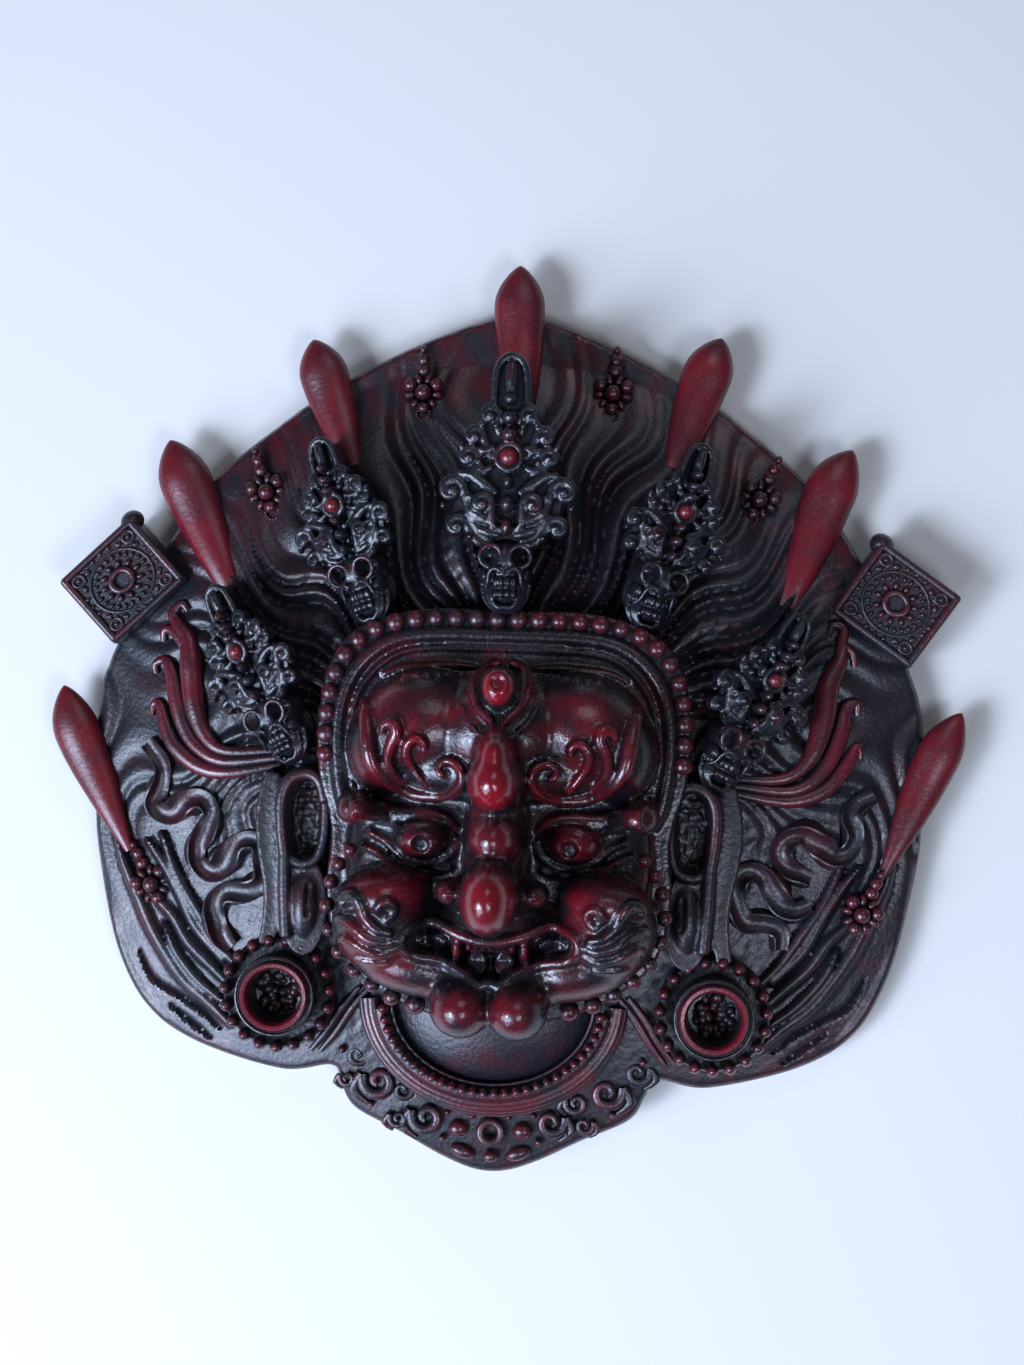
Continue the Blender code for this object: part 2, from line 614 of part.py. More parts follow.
# Scarf strands that stream from the ears, and the wavy ribbons below them: x, y and half width
SCARF_STRANDS = [
    [(70, -16.5, 1.6), (87, -19.5, 1.6), (98, -17, 1.5), (106, -10.5, 1.5), (110, -2, 1.3), (113, -0.5, 1.3)],
    [(72, -12.5, 1.6), (89, -15.5, 1.6), (98.5, -11, 1.5), (104, -4, 1.6), (107, 8, 1.6), (111, 14, 1.2)],
    [(74, -9, 1.6), (89, -11, 1.7), (97.5, -6, 2.0), (101.5, 4, 2.5), (103, 15, 2.4), (107.5, 26, 1.8)],
    [(107.5, 26, 1.6), (108.5, 30.5, 1.3), (105.5, 32.5, 1.2)],
]
LEFT_RIBBON = [(-115, -11), (-110, -17), (-110.5, -26), (-111.5, -31.5), (-106, -33.5), (-96, -28.5)]
LEFT_RIBBON += [(-91, -34), (-96, -41), (-97.5, -47), (-91.5, -51.5), (-85.5, -45), (-78.5, -40)]
LEFT_RIBBON += [(-73.5, -46), (-75, -55), (-84, -58), (-90.5, -62), (-89.5, -71)]
RIGHT_RIBBONS = [
    [(118, -19.5), (111, -25.5), (112, -33), (109, -40), (102, -36.5), (95, -32), (89, -37), (92.5, -44.5)],
    [(98.5, -55), (92.5, -57), (88, -51), (83, -45.5), (76, -47), (74.5, -56), (80, -61), (88.5, -61.5)],
]
RIBBON_HALF_WIDTH = 2.3
ROSETTES = [(30.5, 104, 90.0), (80, 70, 55.0), (114, -59, -60.0)]
ROSETTE_BEAD = (2.4, 2.4, 3.0)
ROSETTE_REACH = 3
LOWER_LOCKS = [
    [(126, -50, 1.6), (122, -70, 1.9), (113, -88, 2.0), (98, -99, 1.8), (84, -103, 1.2)],
    [(116, -68, 1.4), (109, -82, 1.8), (98, -91, 1.8), (86, -97, 1.2)],
]


def fan_ornaments(lines, ribbons):
    bm = bmesh.new()
    for side in SIDES:
        for line in SCARF_STRANDS + LOWER_LOCKS:
            lines.append(on_fan(line if side > 0 else mirrored(line), proud=1.4))
        for x, y, outward in ROSETTES:
            height = float(fan_height(np.array([x]), np.array([y]))[0])
            for number in range(3):
                turn = math.radians(outward) + math.tau * number / 3
                bead_x = side * (x + ROSETTE_REACH * math.cos(turn))
                bead_y = y + ROSETTE_REACH * math.sin(turn)
                ball(bm, (bead_x, bead_y, height + 1.5), ROSETTE_BEAD, sides=8)
    for ribbon in [LEFT_RIBBON] + RIGHT_RIBBONS:
        ribbons.append(on_fan([(x, y, RIBBON_HALF_WIDTH) for x, y in ribbon], proud=2.6))
    return bm


def evaluated_copy(thing, name, group):
    """The mesh of a curve or of an object with modifiers, as an object of its own."""
    graph = bpy.context.evaluated_depsgraph_get()
    graph.update()
    mesh = bpy.data.meshes.new_from_object(thing.evaluated_get(graph))
    copy = bpy.data.objects.new(name, mesh)
    group.objects.link(copy)
    copy.matrix_world = thing.matrix_world
    return copy


def add_to(bm, thing):
    """Take a closed shape into the clay and drop its own object."""
    graph = bpy.context.evaluated_depsgraph_get()
    graph.update()
    mesh = bpy.data.meshes.new_from_object(thing.evaluated_get(graph))
    bm.from_mesh(mesh)
    bpy.data.meshes.remove(mesh)
    bpy.data.objects.remove(thing, do_unlink=True)


# Hollows pressed into the skin: floor of the mouth, pupils of the eyes
MOUTH_RIM_Z = 52
MOUTH_FLOOR_Z = 61
PUPIL_PLACE = (22.5, -36.6)
PUPIL_RADIUS = 3.0
PUPIL_DEPTH = 2.2


def dig(mesh):
    """Press the hollows of the carving into the dense skin: mouth, eye pupils, ears and earrings."""
    count = len(mesh.vertices)
    places = np.empty(count * 3)
    mesh.vertices.foreach_get("co", places)
    places = places.reshape(count, 3)
    x, y, z = places.T
    mouth = inside(mouth_edge(), x, y) & (z > MOUTH_RIM_Z)
    places[mouth, 2] = np.minimum(z[mouth], MOUTH_FLOOR_Z + 0.25 * (z[mouth] - MOUTH_FLOOR_Z))
    hole = EARRING_HOLE_WIDTH / UNIT / 2
    for side in SIDES:
        ex, ey = EARRING_PLACE
        deep = (np.hypot(x - side * ex, y - ey) < hole) & (z > RIM)
        places[deep, 2] = np.minimum(z[deep], EARRING_FLOOR)
        pupil = np.hypot(x - side * PUPIL_PLACE[0], y - PUPIL_PLACE[1])
        low = (pupil < PUPIL_RADIUS) & (z > MOUTH_RIM_Z)
        places[low, 2] -= PUPIL_DEPTH * (1 - (pupil[low] / PUPIL_RADIUS) ** 2)
    mesh.vertices.foreach_set("co", places.reshape(-1))
    mesh.update()


def hollow_cutter(group):
    """The rounded hollow behind the face, which leaves the named wall under the thinnest skin."""
    depth = BLOCK_TOP - WALL
    bm = bmesh.new()
    ball(bm, HOLLOW_PLACE, (HOLLOW_WIDTH / UNIT / 2, HOLLOW_HEIGHT / UNIT / 2, depth), sides=28)
    cutter = to_mesh(bm, "face_hollow", group)
    cutter.scale = (UNIT, UNIT, UNIT)
    cutter.hide_render = True
    cutter.display_type = "WIRE"
    return cutter


def back_cutter(group):
    """A block whose top is the plane of the back, which trims the mask flat."""
    bm = bmesh.new()
    size = 2 * CARVING_UNITS_ACROSS
    depth = 5 * abs(SUNK)
    at = Matrix.Translation(Vector((0, 0, -depth / 2))) @ Matrix.Diagonal((size, size, depth, 1))
    bmesh.ops.create_cube(bm, size=1, matrix=at)
    cutter = to_mesh(bm, "back_plane", group)
    cutter.scale = (UNIT, UNIT, UNIT)
    cutter.hide_render = True
    cutter.display_type = "WIRE"
    return cutter


def resin():
    material = bpy.data.materials.new("cast_resin")
    material.use_nodes = True
    shader = material.node_tree.nodes["Principled BSDF"]
    shader.inputs["Base Color"].default_value = (0.075, 0.012, 0.016, 1)
    shader.inputs["Roughness"].default_value = 0.36
    shader.inputs["Metallic"].default_value = 0.0
    return material


def model():
    clear_scene()
    parts = collection("cham_mask")
    cutters = collection("cutters")
    lines = []
    ribbons = []
    lumps = [relief_slab(whole_edge(), fan_height, FAN_CELL), face(lines), frame(lines), collar(lines)]
    lumps += [fan_ornaments(lines, ribbons)] + crown(lines)
    lumps += [plaque(lines, middle, lean) for middle, lean in PLAQUES]
    for side in SIDES:
        lumps += [ear(lines, side), earring(side)]
    petals = [flame(*petal) for petal in FLAMES]
    clay = bmesh.new()
    for lump in lumps:
        thing = to_mesh(lump, "lump", parts)
        add_to(clay, thing)
    add_to(clay, strands(lines, "carved_lines", parts))
    add_to(clay, strands(ribbons, "ribbons", parts))
    add_to(clay, strands(petals, "petal_flames", parts, flat=FLAME_FLATNESS))
    for section in [thing for thing in parts.objects if thing.type == "CURVE"]:
        bpy.data.objects.remove(section, do_unlink=True)
    bmesh.ops.scale(clay, vec=(UNIT, UNIT, UNIT), verts=clay.verts)
    rough = to_mesh(clay, "clay", parts)
    skin = rough.modifiers.new("skin", "REMESH")
    skin.mode = "VOXEL"
    skin.voxel_size = SKIN_GRAIN
    dense = evaluated_copy(rough, "dense", parts)
    bpy.data.objects.remove(rough, do_unlink=True)
    dense.data.transform(Matrix.Scale(1 / UNIT, 4))
    dig(dense.data)
    dense.data.transform(Matrix.Scale(UNIT, 4))
    triangles = sum(len(face.vertices) - 2 for face in dense.data.polygons)
    thin = dense.modifiers.new("thin", "DECIMATE")
    thin.ratio = FINISHED_TRIANGLES / triangles
    coarse = evaluated_copy(dense, "mask", parts)
    bpy.data.objects.remove(dense, do_unlink=True)
    coarse.name = "mask"
    for cutter in (back_cutter(cutters), hollow_cutter(cutters)):
        cut = coarse.modifiers.new(cutter.name, "BOOLEAN")
        cut.operation = "DIFFERENCE"
        cut.solver = "EXACT"
        cut.object = cutter
    coarse.data.materials.clear()
    coarse.data.materials.append(resin())


model()
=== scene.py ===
import math

import bmesh
import bpy
import numpy as np
from mathutils import Matrix, Vector
from mathutils.bvhtree import BVHTree
from mathutils.kdtree import KDTree


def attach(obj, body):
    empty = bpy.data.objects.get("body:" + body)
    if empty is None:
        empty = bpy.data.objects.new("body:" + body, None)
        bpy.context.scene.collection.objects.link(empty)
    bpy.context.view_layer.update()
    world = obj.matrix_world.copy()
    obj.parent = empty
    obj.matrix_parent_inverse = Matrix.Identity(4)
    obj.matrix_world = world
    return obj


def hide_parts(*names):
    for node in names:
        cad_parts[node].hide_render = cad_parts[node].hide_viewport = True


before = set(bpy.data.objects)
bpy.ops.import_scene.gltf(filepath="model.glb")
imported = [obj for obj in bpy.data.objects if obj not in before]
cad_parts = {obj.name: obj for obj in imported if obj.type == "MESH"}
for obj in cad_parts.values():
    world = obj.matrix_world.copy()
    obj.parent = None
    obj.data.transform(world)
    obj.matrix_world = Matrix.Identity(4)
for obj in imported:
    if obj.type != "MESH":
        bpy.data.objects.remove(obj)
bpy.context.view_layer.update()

# The fan of flaming hair
# The real piece is the back plate of the casting: filled polyester resin poured into a rubber mould,
# flat behind and swelling towards the face, with locks of hair that wave out from the frame to the rim.
# All carving here is laid out in millimetres of the real mask and turned to metres when a mesh is made.
MILLIMETRE = 0.001
SIDES = (-1, 1)
# Thickness at the rim, and how far the plate swells above it towards the face
rim_height = 11.0
fan_rise = 17.0
face_middle_y = -20.0
face_reach = 55.0
fan_reach = 80.0
lock_depth = 2.8
groove_softness = 0.24
sway_wave = 7.6
locks_per_radian = 16
lock_spacing_below = 8.2
# Long locks that run down the left side to the earring, and cuts in the smooth outer leaf: x, y, half width
side_locks = [
    [(-125, -43, 1.5), (-122.9, -50.3, 2.2), (-118.3, -60.4, 2.5), (-112, -73.1, 2.6), (-102.1, -86.8, 2.5),
     (-91.4, -95.7, 2.2), (-85.4, -101.2, 1.4)],
    [(-117, -57, 1.2), (-106.2, -66, 2.0), (-100, -75, 2.2), (-91.6, -82.7, 2.0), (-85.6, -88.2, 1.6)],
    [(-109, -41, 1.4), (-103.8, -53.8, 2.1), (-96.3, -65.3, 2.2), (-90.2, -74.4, 2.0), (-82.8, -82, 1.6)],
    [(-114, -43, 1.2), (-108.8, -49.6, 1.8), (-103, -59.5, 2.0), (-97.4, -69.9, 2.0), (-88, -79.9, 1.6)],
    [(-108, -70, 1.0), (-104.5, -78, 1.8), (-97, -87, 1.9), (-87, -94.6, 1.3)],
]
side_lock_height = 3.0
side_cuts = [
    [(-117.6, -79, 0.5), (-112.7, -88, 1.1), (-104.4, -92.6, 1.1), (-96, -97.5, 1.0), (-89.4, -103, 0.5)],
    [(-106.5, -96.6, 0.5), (-98.1, -102.6, 1.1), (-92.1, -106.9, 0.5)],
]
side_cut_depth = 2.2
fan_cell = 0.84
fan_edge_roundness = 2.5
# Middle and half sizes of the hollow behind the face, which saves resin in a casting this deep
face_hollow = ((0.0, -28.0, 0.0), (46.0, 56.0, 31.0))

# Right half of the rim, from under the top flame down to the point of the collar
fan_edge = [(8, 130), (31, 121.5), (53, 110.5), (69, 100), (96, 78), (108, 62), (118, 44), (129, 20)]
fan_edge += [(134, 2), (134.5, -32), (131, -57), (124.5, -81), (114.5, -98), (98, -108.5), (69, -115.5)]
fan_edge += [(52, -113), (49, -119), (44, -127), (29, -134.3), (16, -141.4), (5, -145.6)]


def smooth(points, steps=6, closed=False):
    """A smooth line of points through the few given ones, with any further numbers carried along."""
    known = np.array(points, dtype=float)
    if closed:
        known = np.vstack([known[-1], known, known[0], known[1]])
    else:
        known = np.vstack([2 * known[0] - known[1], known, 2 * known[-1] - known[-2]])
    line = []
    for first, start, end, last in zip(known, known[1:], known[2:], known[3:]):
        for share in np.arange(steps) / steps:
            curve = 2 * start + (end - first) * share
            curve = curve + (2 * first - 5 * start + 4 * end - last) * share**2
            curve = curve + (3 * start - first - 3 * end + last) * share**3
            line.append(curve / 2)
    if not closed:
        line.append(known[-2])
    return np.array(line)


def step_between(low, high, value):
    """A soft rise from 0 at low to 1 at high; with low above high it falls instead."""
    share = np.clip((value - low) / (high - low), 0, 1)
    return share * share * (3 - 2 * share)


def wander(x, y, wavelength, seed):
    """A gentle uneven swell between -1 and 1, from a few crossed waves with seeded directions."""
    draw = np.random.default_rng(seed)
    total = np.zeros_like(x)
    for _ in range(5):
        turn = draw.uniform(0, math.tau)
        rate = math.tau / (wavelength * draw.uniform(0.7, 1.5))
        total = total + np.sin(rate * (x * math.cos(turn) + y * math.sin(turn)) + draw.uniform(0, math.tau))
    return total / 3.2


def lock_profile(number):
    """A rounded lock between two narrow grooves, from 0 in the groove to 1 on its back."""
    from_groove = 1 - np.abs(2 * (number - np.floor(number)) - 1)
    softened = np.sqrt(from_groove**2 + groove_softness**2) - groove_softness
    return 1 - np.clip(1 - softened, 0, 1) ** 2.4


def strokes(lines, x, y):
    """How deep each place lies in the nearest mirrored stroke, from 0 at its edge to 1 on its line."""
    across = -np.abs(x)
    depth = np.zeros_like(x)
    for line in lines:
        stepped = smooth(line, 5)
        for (ax, ay, a_half), (bx, by, b_half) in zip(stepped, stepped[1:]):
            run = (bx - ax) ** 2 + (by - ay) ** 2
            share = np.clip(((across - ax) * (bx - ax) + (y - ay) * (by - ay)) / run, 0, 1)
            gap = np.hypot(across - ax - share * (bx - ax), y - ay - share * (by - ay))
            half = a_half + share * (b_half - a_half)
            depth = np.maximum(depth, np.clip(1 - (gap / half) ** 2, 0, 1))
    return depth


def fan_height(x, y):
    """Height of the hair over the back, for arrays of places."""
    across = np.abs(x)
    reach = np.hypot(x, y - face_middle_y)
    turn = np.arctan2(across, y - face_middle_y)
    outward = np.clip((reach - face_reach) / fan_reach, 0, 1)
    swell = rim_height + fan_rise * (1 - outward**1.5)
    sideways = step_between(1.2, 1.75, turn)
    sway = 0.52 * np.sin(reach / sway_wave + 5 * turn) + 0.55 * wander(x, y, 46, 3)
    # Above, the locks stand round the face like rays; at the sides they run round it instead
    lock = (1 - sideways) * turn * locks_per_radian + sideways * (reach / lock_spacing_below + 4) + sway
    lock = lock + 0.17 * np.sin(2.3 * lock + 1)
    fade = 1 - 0.84 * step_between(0.5, 0.92, outward) * (1 - sideways)
    fade = fade * (1 - 0.7 * sideways) * step_between(-104, -96, y)
    fade = fade * (1 - 0.85 * step_between(1.75, 2.0, turn))
    hair = lock_depth * fade * (lock_profile(lock) - 0.5)
    layers = 0.7 * fade * np.sin(2.9 * lock + 0.6)
    grain = 0.2 * wander(x, y, 3.4, 9) * step_between(0.75, 0.3, outward)
    side = side_lock_height * np.sqrt(strokes(side_locks, x, y)) - side_cut_depth * strokes(side_cuts, x, y)
    return swell + hair + layers + grain + side + 0.35 * wander(x, y, 30, 7)


def inside(edge, x, y):
    """True for the places that lie within a closed edge."""
    found = np.zeros(x.shape, dtype=bool)
    for start, end in zip(edge, np.roll(edge, -1, axis=0)):
        if start[1] == end[1]:
            continue
        level = (start[1] > y) != (end[1] > y)
        crossing = start[0] + (y - start[1]) * (end[0] - start[0]) / (end[1] - start[1])
        found ^= level & (x < crossing)
    return found


def search_tree(edge):
    """The points of a flat edge, ready to be searched for the nearest one."""
    tree = KDTree(len(edge))
    for number, point in enumerate(edge):
        tree.insert((point[0], point[1], 0), number)
    tree.balance()
    return tree


def distance_to(edge, x, y):
    """How far each place is from the nearest point of a closely stepped edge."""
    tree = search_tree(edge)
    return np.array([tree.find((a, b, 0))[2] for a, b in zip(x, y)])


def places_of(mesh):
    """All places of a mesh as rows of x, y and z."""
    places = np.empty(len(mesh.vertices) * 3)
    mesh.vertices.foreach_get("co", places)
    return places.reshape(-1, 3)


def set_places(mesh, places):
    mesh.vertices.foreach_set("co", places.reshape(-1))
    mesh.update()


def relief_slab(name, edge, height, cell, low=0.0):
    """A slab with the given edge, whose top follows a height and whose underside is flat."""
    start = edge.min(axis=0) - cell
    size = edge.max(axis=0) + cell - start
    across, along = (size / cell).astype(int)
    bm = bmesh.new()
    bmesh.ops.create_grid(bm, x_segments=across, y_segments=along, size=0.5)
    middle = start + size / 2
    lay = Matrix.Translation((*middle, 0)) @ Matrix.Diagonal((*size, 1, 1))
    bmesh.ops.transform(bm, matrix=lay, verts=bm.verts)
    faces = list(bm.faces)
    centres = np.array([face.calc_center_median()[:2] for face in faces])
    kept = inside(edge, centres[:, 0], centres[:, 1])
    bmesh.ops.delete(bm, geom=[face for face, keep in zip(faces, kept) if not keep], context="FACES")
    tree = search_tree(edge)
    for vert in bm.verts:
        if vert.is_boundary:
            vert.co = tree.find(vert.co)[0]
    grid = list(bm.verts)
    places = np.array([vert.co[:2] for vert in grid])
    gap = distance_to(edge, places[:, 0], places[:, 1])
    rounded = fan_edge_roundness * (1 - np.sqrt(1 - np.clip(1 - gap / fan_edge_roundness, 0, 1) ** 2))
    tops = height(places[:, 0], places[:, 1]) - rounded
    for vert, top in zip(grid, tops):
        vert.co.z = top
    rim = [side for side in bm.edges if side.is_boundary]
    wall = bmesh.ops.extrude_edge_only(bm, edges=rim)["geom"]
    for item in wall:
        if isinstance(item, bmesh.types.BMVert):
            item.co.z = low
    foot = [item for item in wall if isinstance(item, bmesh.types.BMEdge) and item.is_boundary]
    bmesh.ops.holes_fill(bm, edges=foot, sides=0)
    bmesh.ops.recalc_face_normals(bm, faces=bm.faces)
    return mesh_object(name, bm)


def mesh_object(name, bm):
    """Turn a finished shape into an object and let the shape go."""
    mesh = bpy.data.meshes.new(name)
    bm.to_mesh(mesh)
    bm.free()
    thing = bpy.data.objects.new(name, mesh)
    bpy.context.scene.collection.objects.link(thing)
    return thing


def baked(thing):
    """Swap an object's shape for the one that its modifiers or its curve make."""
    graph = bpy.context.evaluated_depsgraph_get()
    graph.update()
    mesh = bpy.data.meshes.new_from_object(thing.evaluated_get(graph))
    name = thing.name
    bpy.data.objects.remove(thing, do_unlink=True)
    made = bpy.data.objects.new(name, mesh)
    bpy.context.scene.collection.objects.link(made)
    return made


def hollowed(thing, growth):
    """Cut the rounded hollow behind the face out of a piece."""
    place, size = face_hollow
    bm = bmesh.new()
    at = Matrix.Translation(place) @ Matrix.Diagonal((*[part * growth for part in size], 1))
    bmesh.ops.create_uvsphere(bm, u_segments=72, v_segments=41, radius=1, matrix=at)
    cutter = mesh_object("hollow_cutter", bm)
    cut = thing.modifiers.new("hollow", "BOOLEAN")
    cut.operation = "DIFFERENCE"
    cut.solver = "MANIFOLD"
    cut.object = cutter
    made = baked(thing)
    bpy.data.objects.remove(cutter, do_unlink=True)
    return made


def linear(hex_colour):
    """An sRGB hex colour as linear red, green, blue and alpha."""
    parts = [int(hex_colour[i:i + 2], 16) / 255 for i in (1, 3, 5)]
    return [p / 12.92 if p <= 0.04045 else ((p + 0.055) / 1.055) ** 2.4 for p in parts] + [1.0]


def node(tree, kind, settings=None, links=None, **fields):
    """Add a node: fields are its own settings, settings its socket values, links what feeds its sockets."""
    made = tree.nodes.new(kind)
    for key, value in fields.items():
        setattr(made, key, value)
    for key, value in (settings or {}).items():
        made.inputs[key].default_value = value
    for key, source in (links or {}).items():
        tree.links.new(source, made.inputs[key])
    return made


def cast_resin(name, wash, body, rubbed, rub, gloss=0.32, edge=0.35):
    """Filled polyester resin, cast in a rubber mould, stained with a black wash that is wiped off again.

    The wash stays in the hollows and dulls them; the wiped backs show the maroon body, and where a
    thumb rubbed longest the clear red. Fine pits and wiping marks break up the satin gloss.
    """
    material = bpy.data.materials.new(name)
    material.use_nodes = True
    tree = material.node_tree
    shader = tree.nodes["Principled BSDF"]
    place = {"Vector": node(tree, "ShaderNodeTexCoord").outputs["Object"]}

    def noise(size, detail):
        return node(tree, "ShaderNodeTexNoise", {"Scale": 1 / (size * MILLIMETRE), "Detail": detail}, place)

    # Sizes in millimetres. Real pits and wiping marks are finer: they are drawn this coarse to show at all
    blotch = noise(13, 5.0)
    speckle = noise(1.1, 3.0)
    grain = noise(1.5, 3.0)
    pits = noise(0.5, 2.0)
    shelter = node(tree, "ShaderNodeAmbientOcclusion", {"Distance": 4.5 * MILLIMETRE}, samples=6)
    open_air = node(tree, "ShaderNodeMapRange", {"From Min": 0.35, "From Max": 0.95},
                    {"Value": shelter.outputs["AO"]})
    # Convex edges found by pointiness get extra red: partly edge wear, partly a painted highlight
    edges = node(tree, "ShaderNodeMapRange", {"From Min": 0.51, "From Max": 0.6, "To Max": edge},
                 {"Value": node(tree, "ShaderNodeNewGeometry").outputs["Pointiness"]})
    zone = node(tree, "ShaderNodeAttribute", attribute_name="rub")
    patchy = node(tree, "ShaderNodeMapRange", {"From Min": 0.4, "From Max": 0.6, "To Min": rub - 0.22,
                                               "To Max": rub + 0.22}, {"Value": blotch.outputs["Fac"]})
    wiped = node(tree, "ShaderNodeMath", None, {0: zone.outputs["Fac"], 1: patchy.outputs[0]},
                 operation="ADD")
    # Rubbed zones and patches plus the painted edge highlight, kept out of sheltered hollows
    worn_and_edge_highlight = node(tree, "ShaderNodeMath", None, {0: wiped.outputs[0], 1: edges.outputs[0]}, operation="ADD")
    bare_and_edge_highlight = node(tree, "ShaderNodeMath", None, {0: worn_and_edge_highlight.outputs[0], 1: open_air.outputs[0]},
                operation="MULTIPLY", use_clamp=True)
    stain = node(tree, "ShaderNodeMix", {6: linear(wash), 7: linear(body)}, {0: open_air.outputs[0]},
                 data_type="RGBA")
    colour = node(tree, "ShaderNodeMix", {7: linear(rubbed)}, {0: bare_and_edge_highlight.outputs[0], 6: stain.outputs[2]},
                  data_type="RGBA")
    fleck = node(tree, "ShaderNodeMapRange",
                 {"From Min": 0.3, "From Max": 0.7, "To Min": 0.8, "To Max": 1.15},
                 {"Value": speckle.outputs["Fac"]})
    tinted = node(tree, "ShaderNodeVectorMath", None, {0: colour.outputs[2], 1: fleck.outputs[0]},
                  operation="MULTIPLY")
    tree.links.new(tinted.outputs[0], shader.inputs["Base Color"])
    dull = node(tree, "ShaderNodeMapRange", {"To Min": gloss + 0.08, "To Max": gloss - 0.06},
                {"Value": bare_and_edge_highlight.outputs[0]})
    mottled = node(tree, "ShaderNodeMath", {1: 0.2, 2: -0.1}, {0: speckle.outputs["Fac"]},
                   operation="MULTIPLY_ADD")
    rough = node(tree, "ShaderNodeMath", None, {0: dull.outputs[0], 1: mottled.outputs[0]}, operation="ADD")
    tree.links.new(rough.outputs[0], shader.inputs["Roughness"])
    shader.inputs["IOR"].default_value = 1.55
    uneven = node(tree, "ShaderNodeMapRange", {"To Min": 0.75, "To Max": 0.12}, {"Value": bare_and_edge_highlight.outputs[0]})
    wiping = node(tree, "ShaderNodeBump", {"Distance": 0.3 * MILLIMETRE},
                  {"Height": grain.outputs["Fac"], "Strength": uneven.outputs[0]})
    relief = node(tree, "ShaderNodeBump", {"Strength": 0.3, "Distance": 0.1 * MILLIMETRE},
                  {"Height": pits.outputs["Fac"], "Normal": wiping.outputs[0]})
    tree.links.new(relief.outputs[0], shader.inputs["Normal"])
    return material


def settle(thing, material, smooth_angle=None):
    """Turn a finished piece from millimetres to metres, shade it, and tie it to the frame."""
    thing.data.transform(Matrix.Scale(MILLIMETRE, 4))
    thing.data.shade_smooth()
    if smooth_angle:
        thing.data.set_sharp_from_angle(angle=math.radians(smooth_angle))
    thing.data.materials.clear()
    thing.data.materials.append(material)
    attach(thing, "root")
    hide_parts("mask")
    return thing


def rubbed_zone(thing, amounts):
    """Note how far each place of a piece is rubbed, for its material to read."""
    layer = thing.data.attributes.new("rub", "FLOAT", "POINT")
    layer.data.foreach_set("value", amounts)


# The black wash is hardly wiped: near-black hair with dull maroon where the rim was handled
black_washed = cast_resin("black_washed_resin", "#0f131a", "#17131a", "#500e19", -0.02, 0.32, 0.18)
whole_edge = smooth(fan_edge + [(-x, y) for x, y in reversed(fan_edge)], steps=60, closed=True)
hair_fan = relief_slab("hair_fan", whole_edge, fan_height, fan_cell)
hair_fan = hollowed(hair_fan, 1.0)
x, y, z = places_of(hair_fan.data).T
upper_rim = step_between(104, 134, np.hypot(x, y - face_middle_y)) * step_between(20, 60, y)
lower_rim = step_between(95, 125, np.hypot(x, y - face_middle_y)) * step_between(-20, -60, y)
patches = 0.5 + 0.5 * wander(x, y, 11, 3)
rubbed_zone(hair_fan, (0.08 + 0.62 * patches) * upper_rim + 0.16 * lower_rim - 0.04)
settle(hair_fan, black_washed, 50)

# Petal flames on the rim
# Seven smooth flames stand out from the rim like spear heads. They are cast with the plate, and their
# faces are wiped almost clean of the wash, so they are the reddest and smoothest parts of the fan.
flame_height = 12.0
flame_flatness = 0.66
flame_widest = 0.27
# Tip, widest place and foot of each flame, its half width, and the share of that left at the foot
petal_flames = [
    ((0, 146.8), (0.2, 131), (2.2, 97), 8.2, 0.5),
    ((-66.6, 121.4), (-61.8, 107), (-51.5, 80), 7.9, 0.45),
    ((65.6, 124.8), (60.2, 110), (51.5, 82), 8.0, 0.45),
    ((-112.7, 87.5), (-106.8, 73.5), (-89.5, 38), 8.6, 0.42),
    ((108.4, 90.0), (102.0, 77), (88.5, 39), 8.4, 0.42),
    ((-145.2, 6.3), (-140.0, -9), (-120.5, -46.5), 7.6, 0.2),
    ((145.6, 7.2), (137.6, -9), (121, -47), 7.2, 0.12),
]


def flame_petal(bm, tip, wide, foot, half_width, end):
    """A petal swept from its rounded tip to a thinner stem, flattened towards the plate."""
    rings = 44
    sides = 28
    spine = smooth([tip, wide, ((wide[0] + foot[0]) / 2, (wide[1] + foot[1]) / 2), foot], steps=20)
    lengths = np.concatenate([[0], np.cumsum(np.hypot(*np.diff(spine, axis=0).T))])
    whole = lengths[-1]
    previous = None
    for number in range(rings + 1):
        share = (number / rings) ** 1.35
        at = share * whole
        x = np.interp(at, lengths, spine[:, 0])
        y = np.interp(at, lengths, spine[:, 1])
        ahead = min(at + 1, whole)
        behind = max(at - 1, 0)
        along = Vector((np.interp(ahead, lengths, spine[:, 0]) - np.interp(behind, lengths, spine[:, 0]),
                        np.interp(ahead, lengths, spine[:, 1]) - np.interp(behind, lengths, spine[:, 1])))
        along.normalize()
        if share < flame_widest:
            width = math.sin(math.pi / 2 * share / flame_widest) ** 0.72
        else:
            beyond = (share - flame_widest) / (1 - flame_widest)
            width = end + (1 - end) * math.cos(math.pi / 2 * beyond) ** 1.1
        width = max(width * half_width, 0.02)
        rise = 4.5 * step_between(0.35, 1.0, share)
        ring = []
        for corner in range(sides):
            turn = math.tau * corner / sides
            off = width * math.cos(turn)
            up = width * flame_flatness * math.sin(turn)
            ring.append(bm.verts.new((x - along.y * off, y + along.x * off, flame_height + rise + up)))
        if previous:
            for corner in range(sides):
                beside = (corner + 1) % sides
                bm.faces.new((previous[corner], previous[beside], ring[beside], ring[corner]))
        else:
            bm.faces.new(ring)
        previous = ring
    bm.faces.new(previous)


flames = bmesh.new()
for petal in petal_flames:
    flame_petal(flames, *petal)
bmesh.ops.recalc_face_normals(flames, faces=flames.faces)
# Wiped clean while the wash was wet: a deep blood red with broad soft lights
flame_red = cast_resin("wiped_red_resin", "#0e0a0e", "#2a0a12", "#6a101c", 0.62, 0.36)
settle(mesh_object("petal_flames", flames), flame_red, 60)

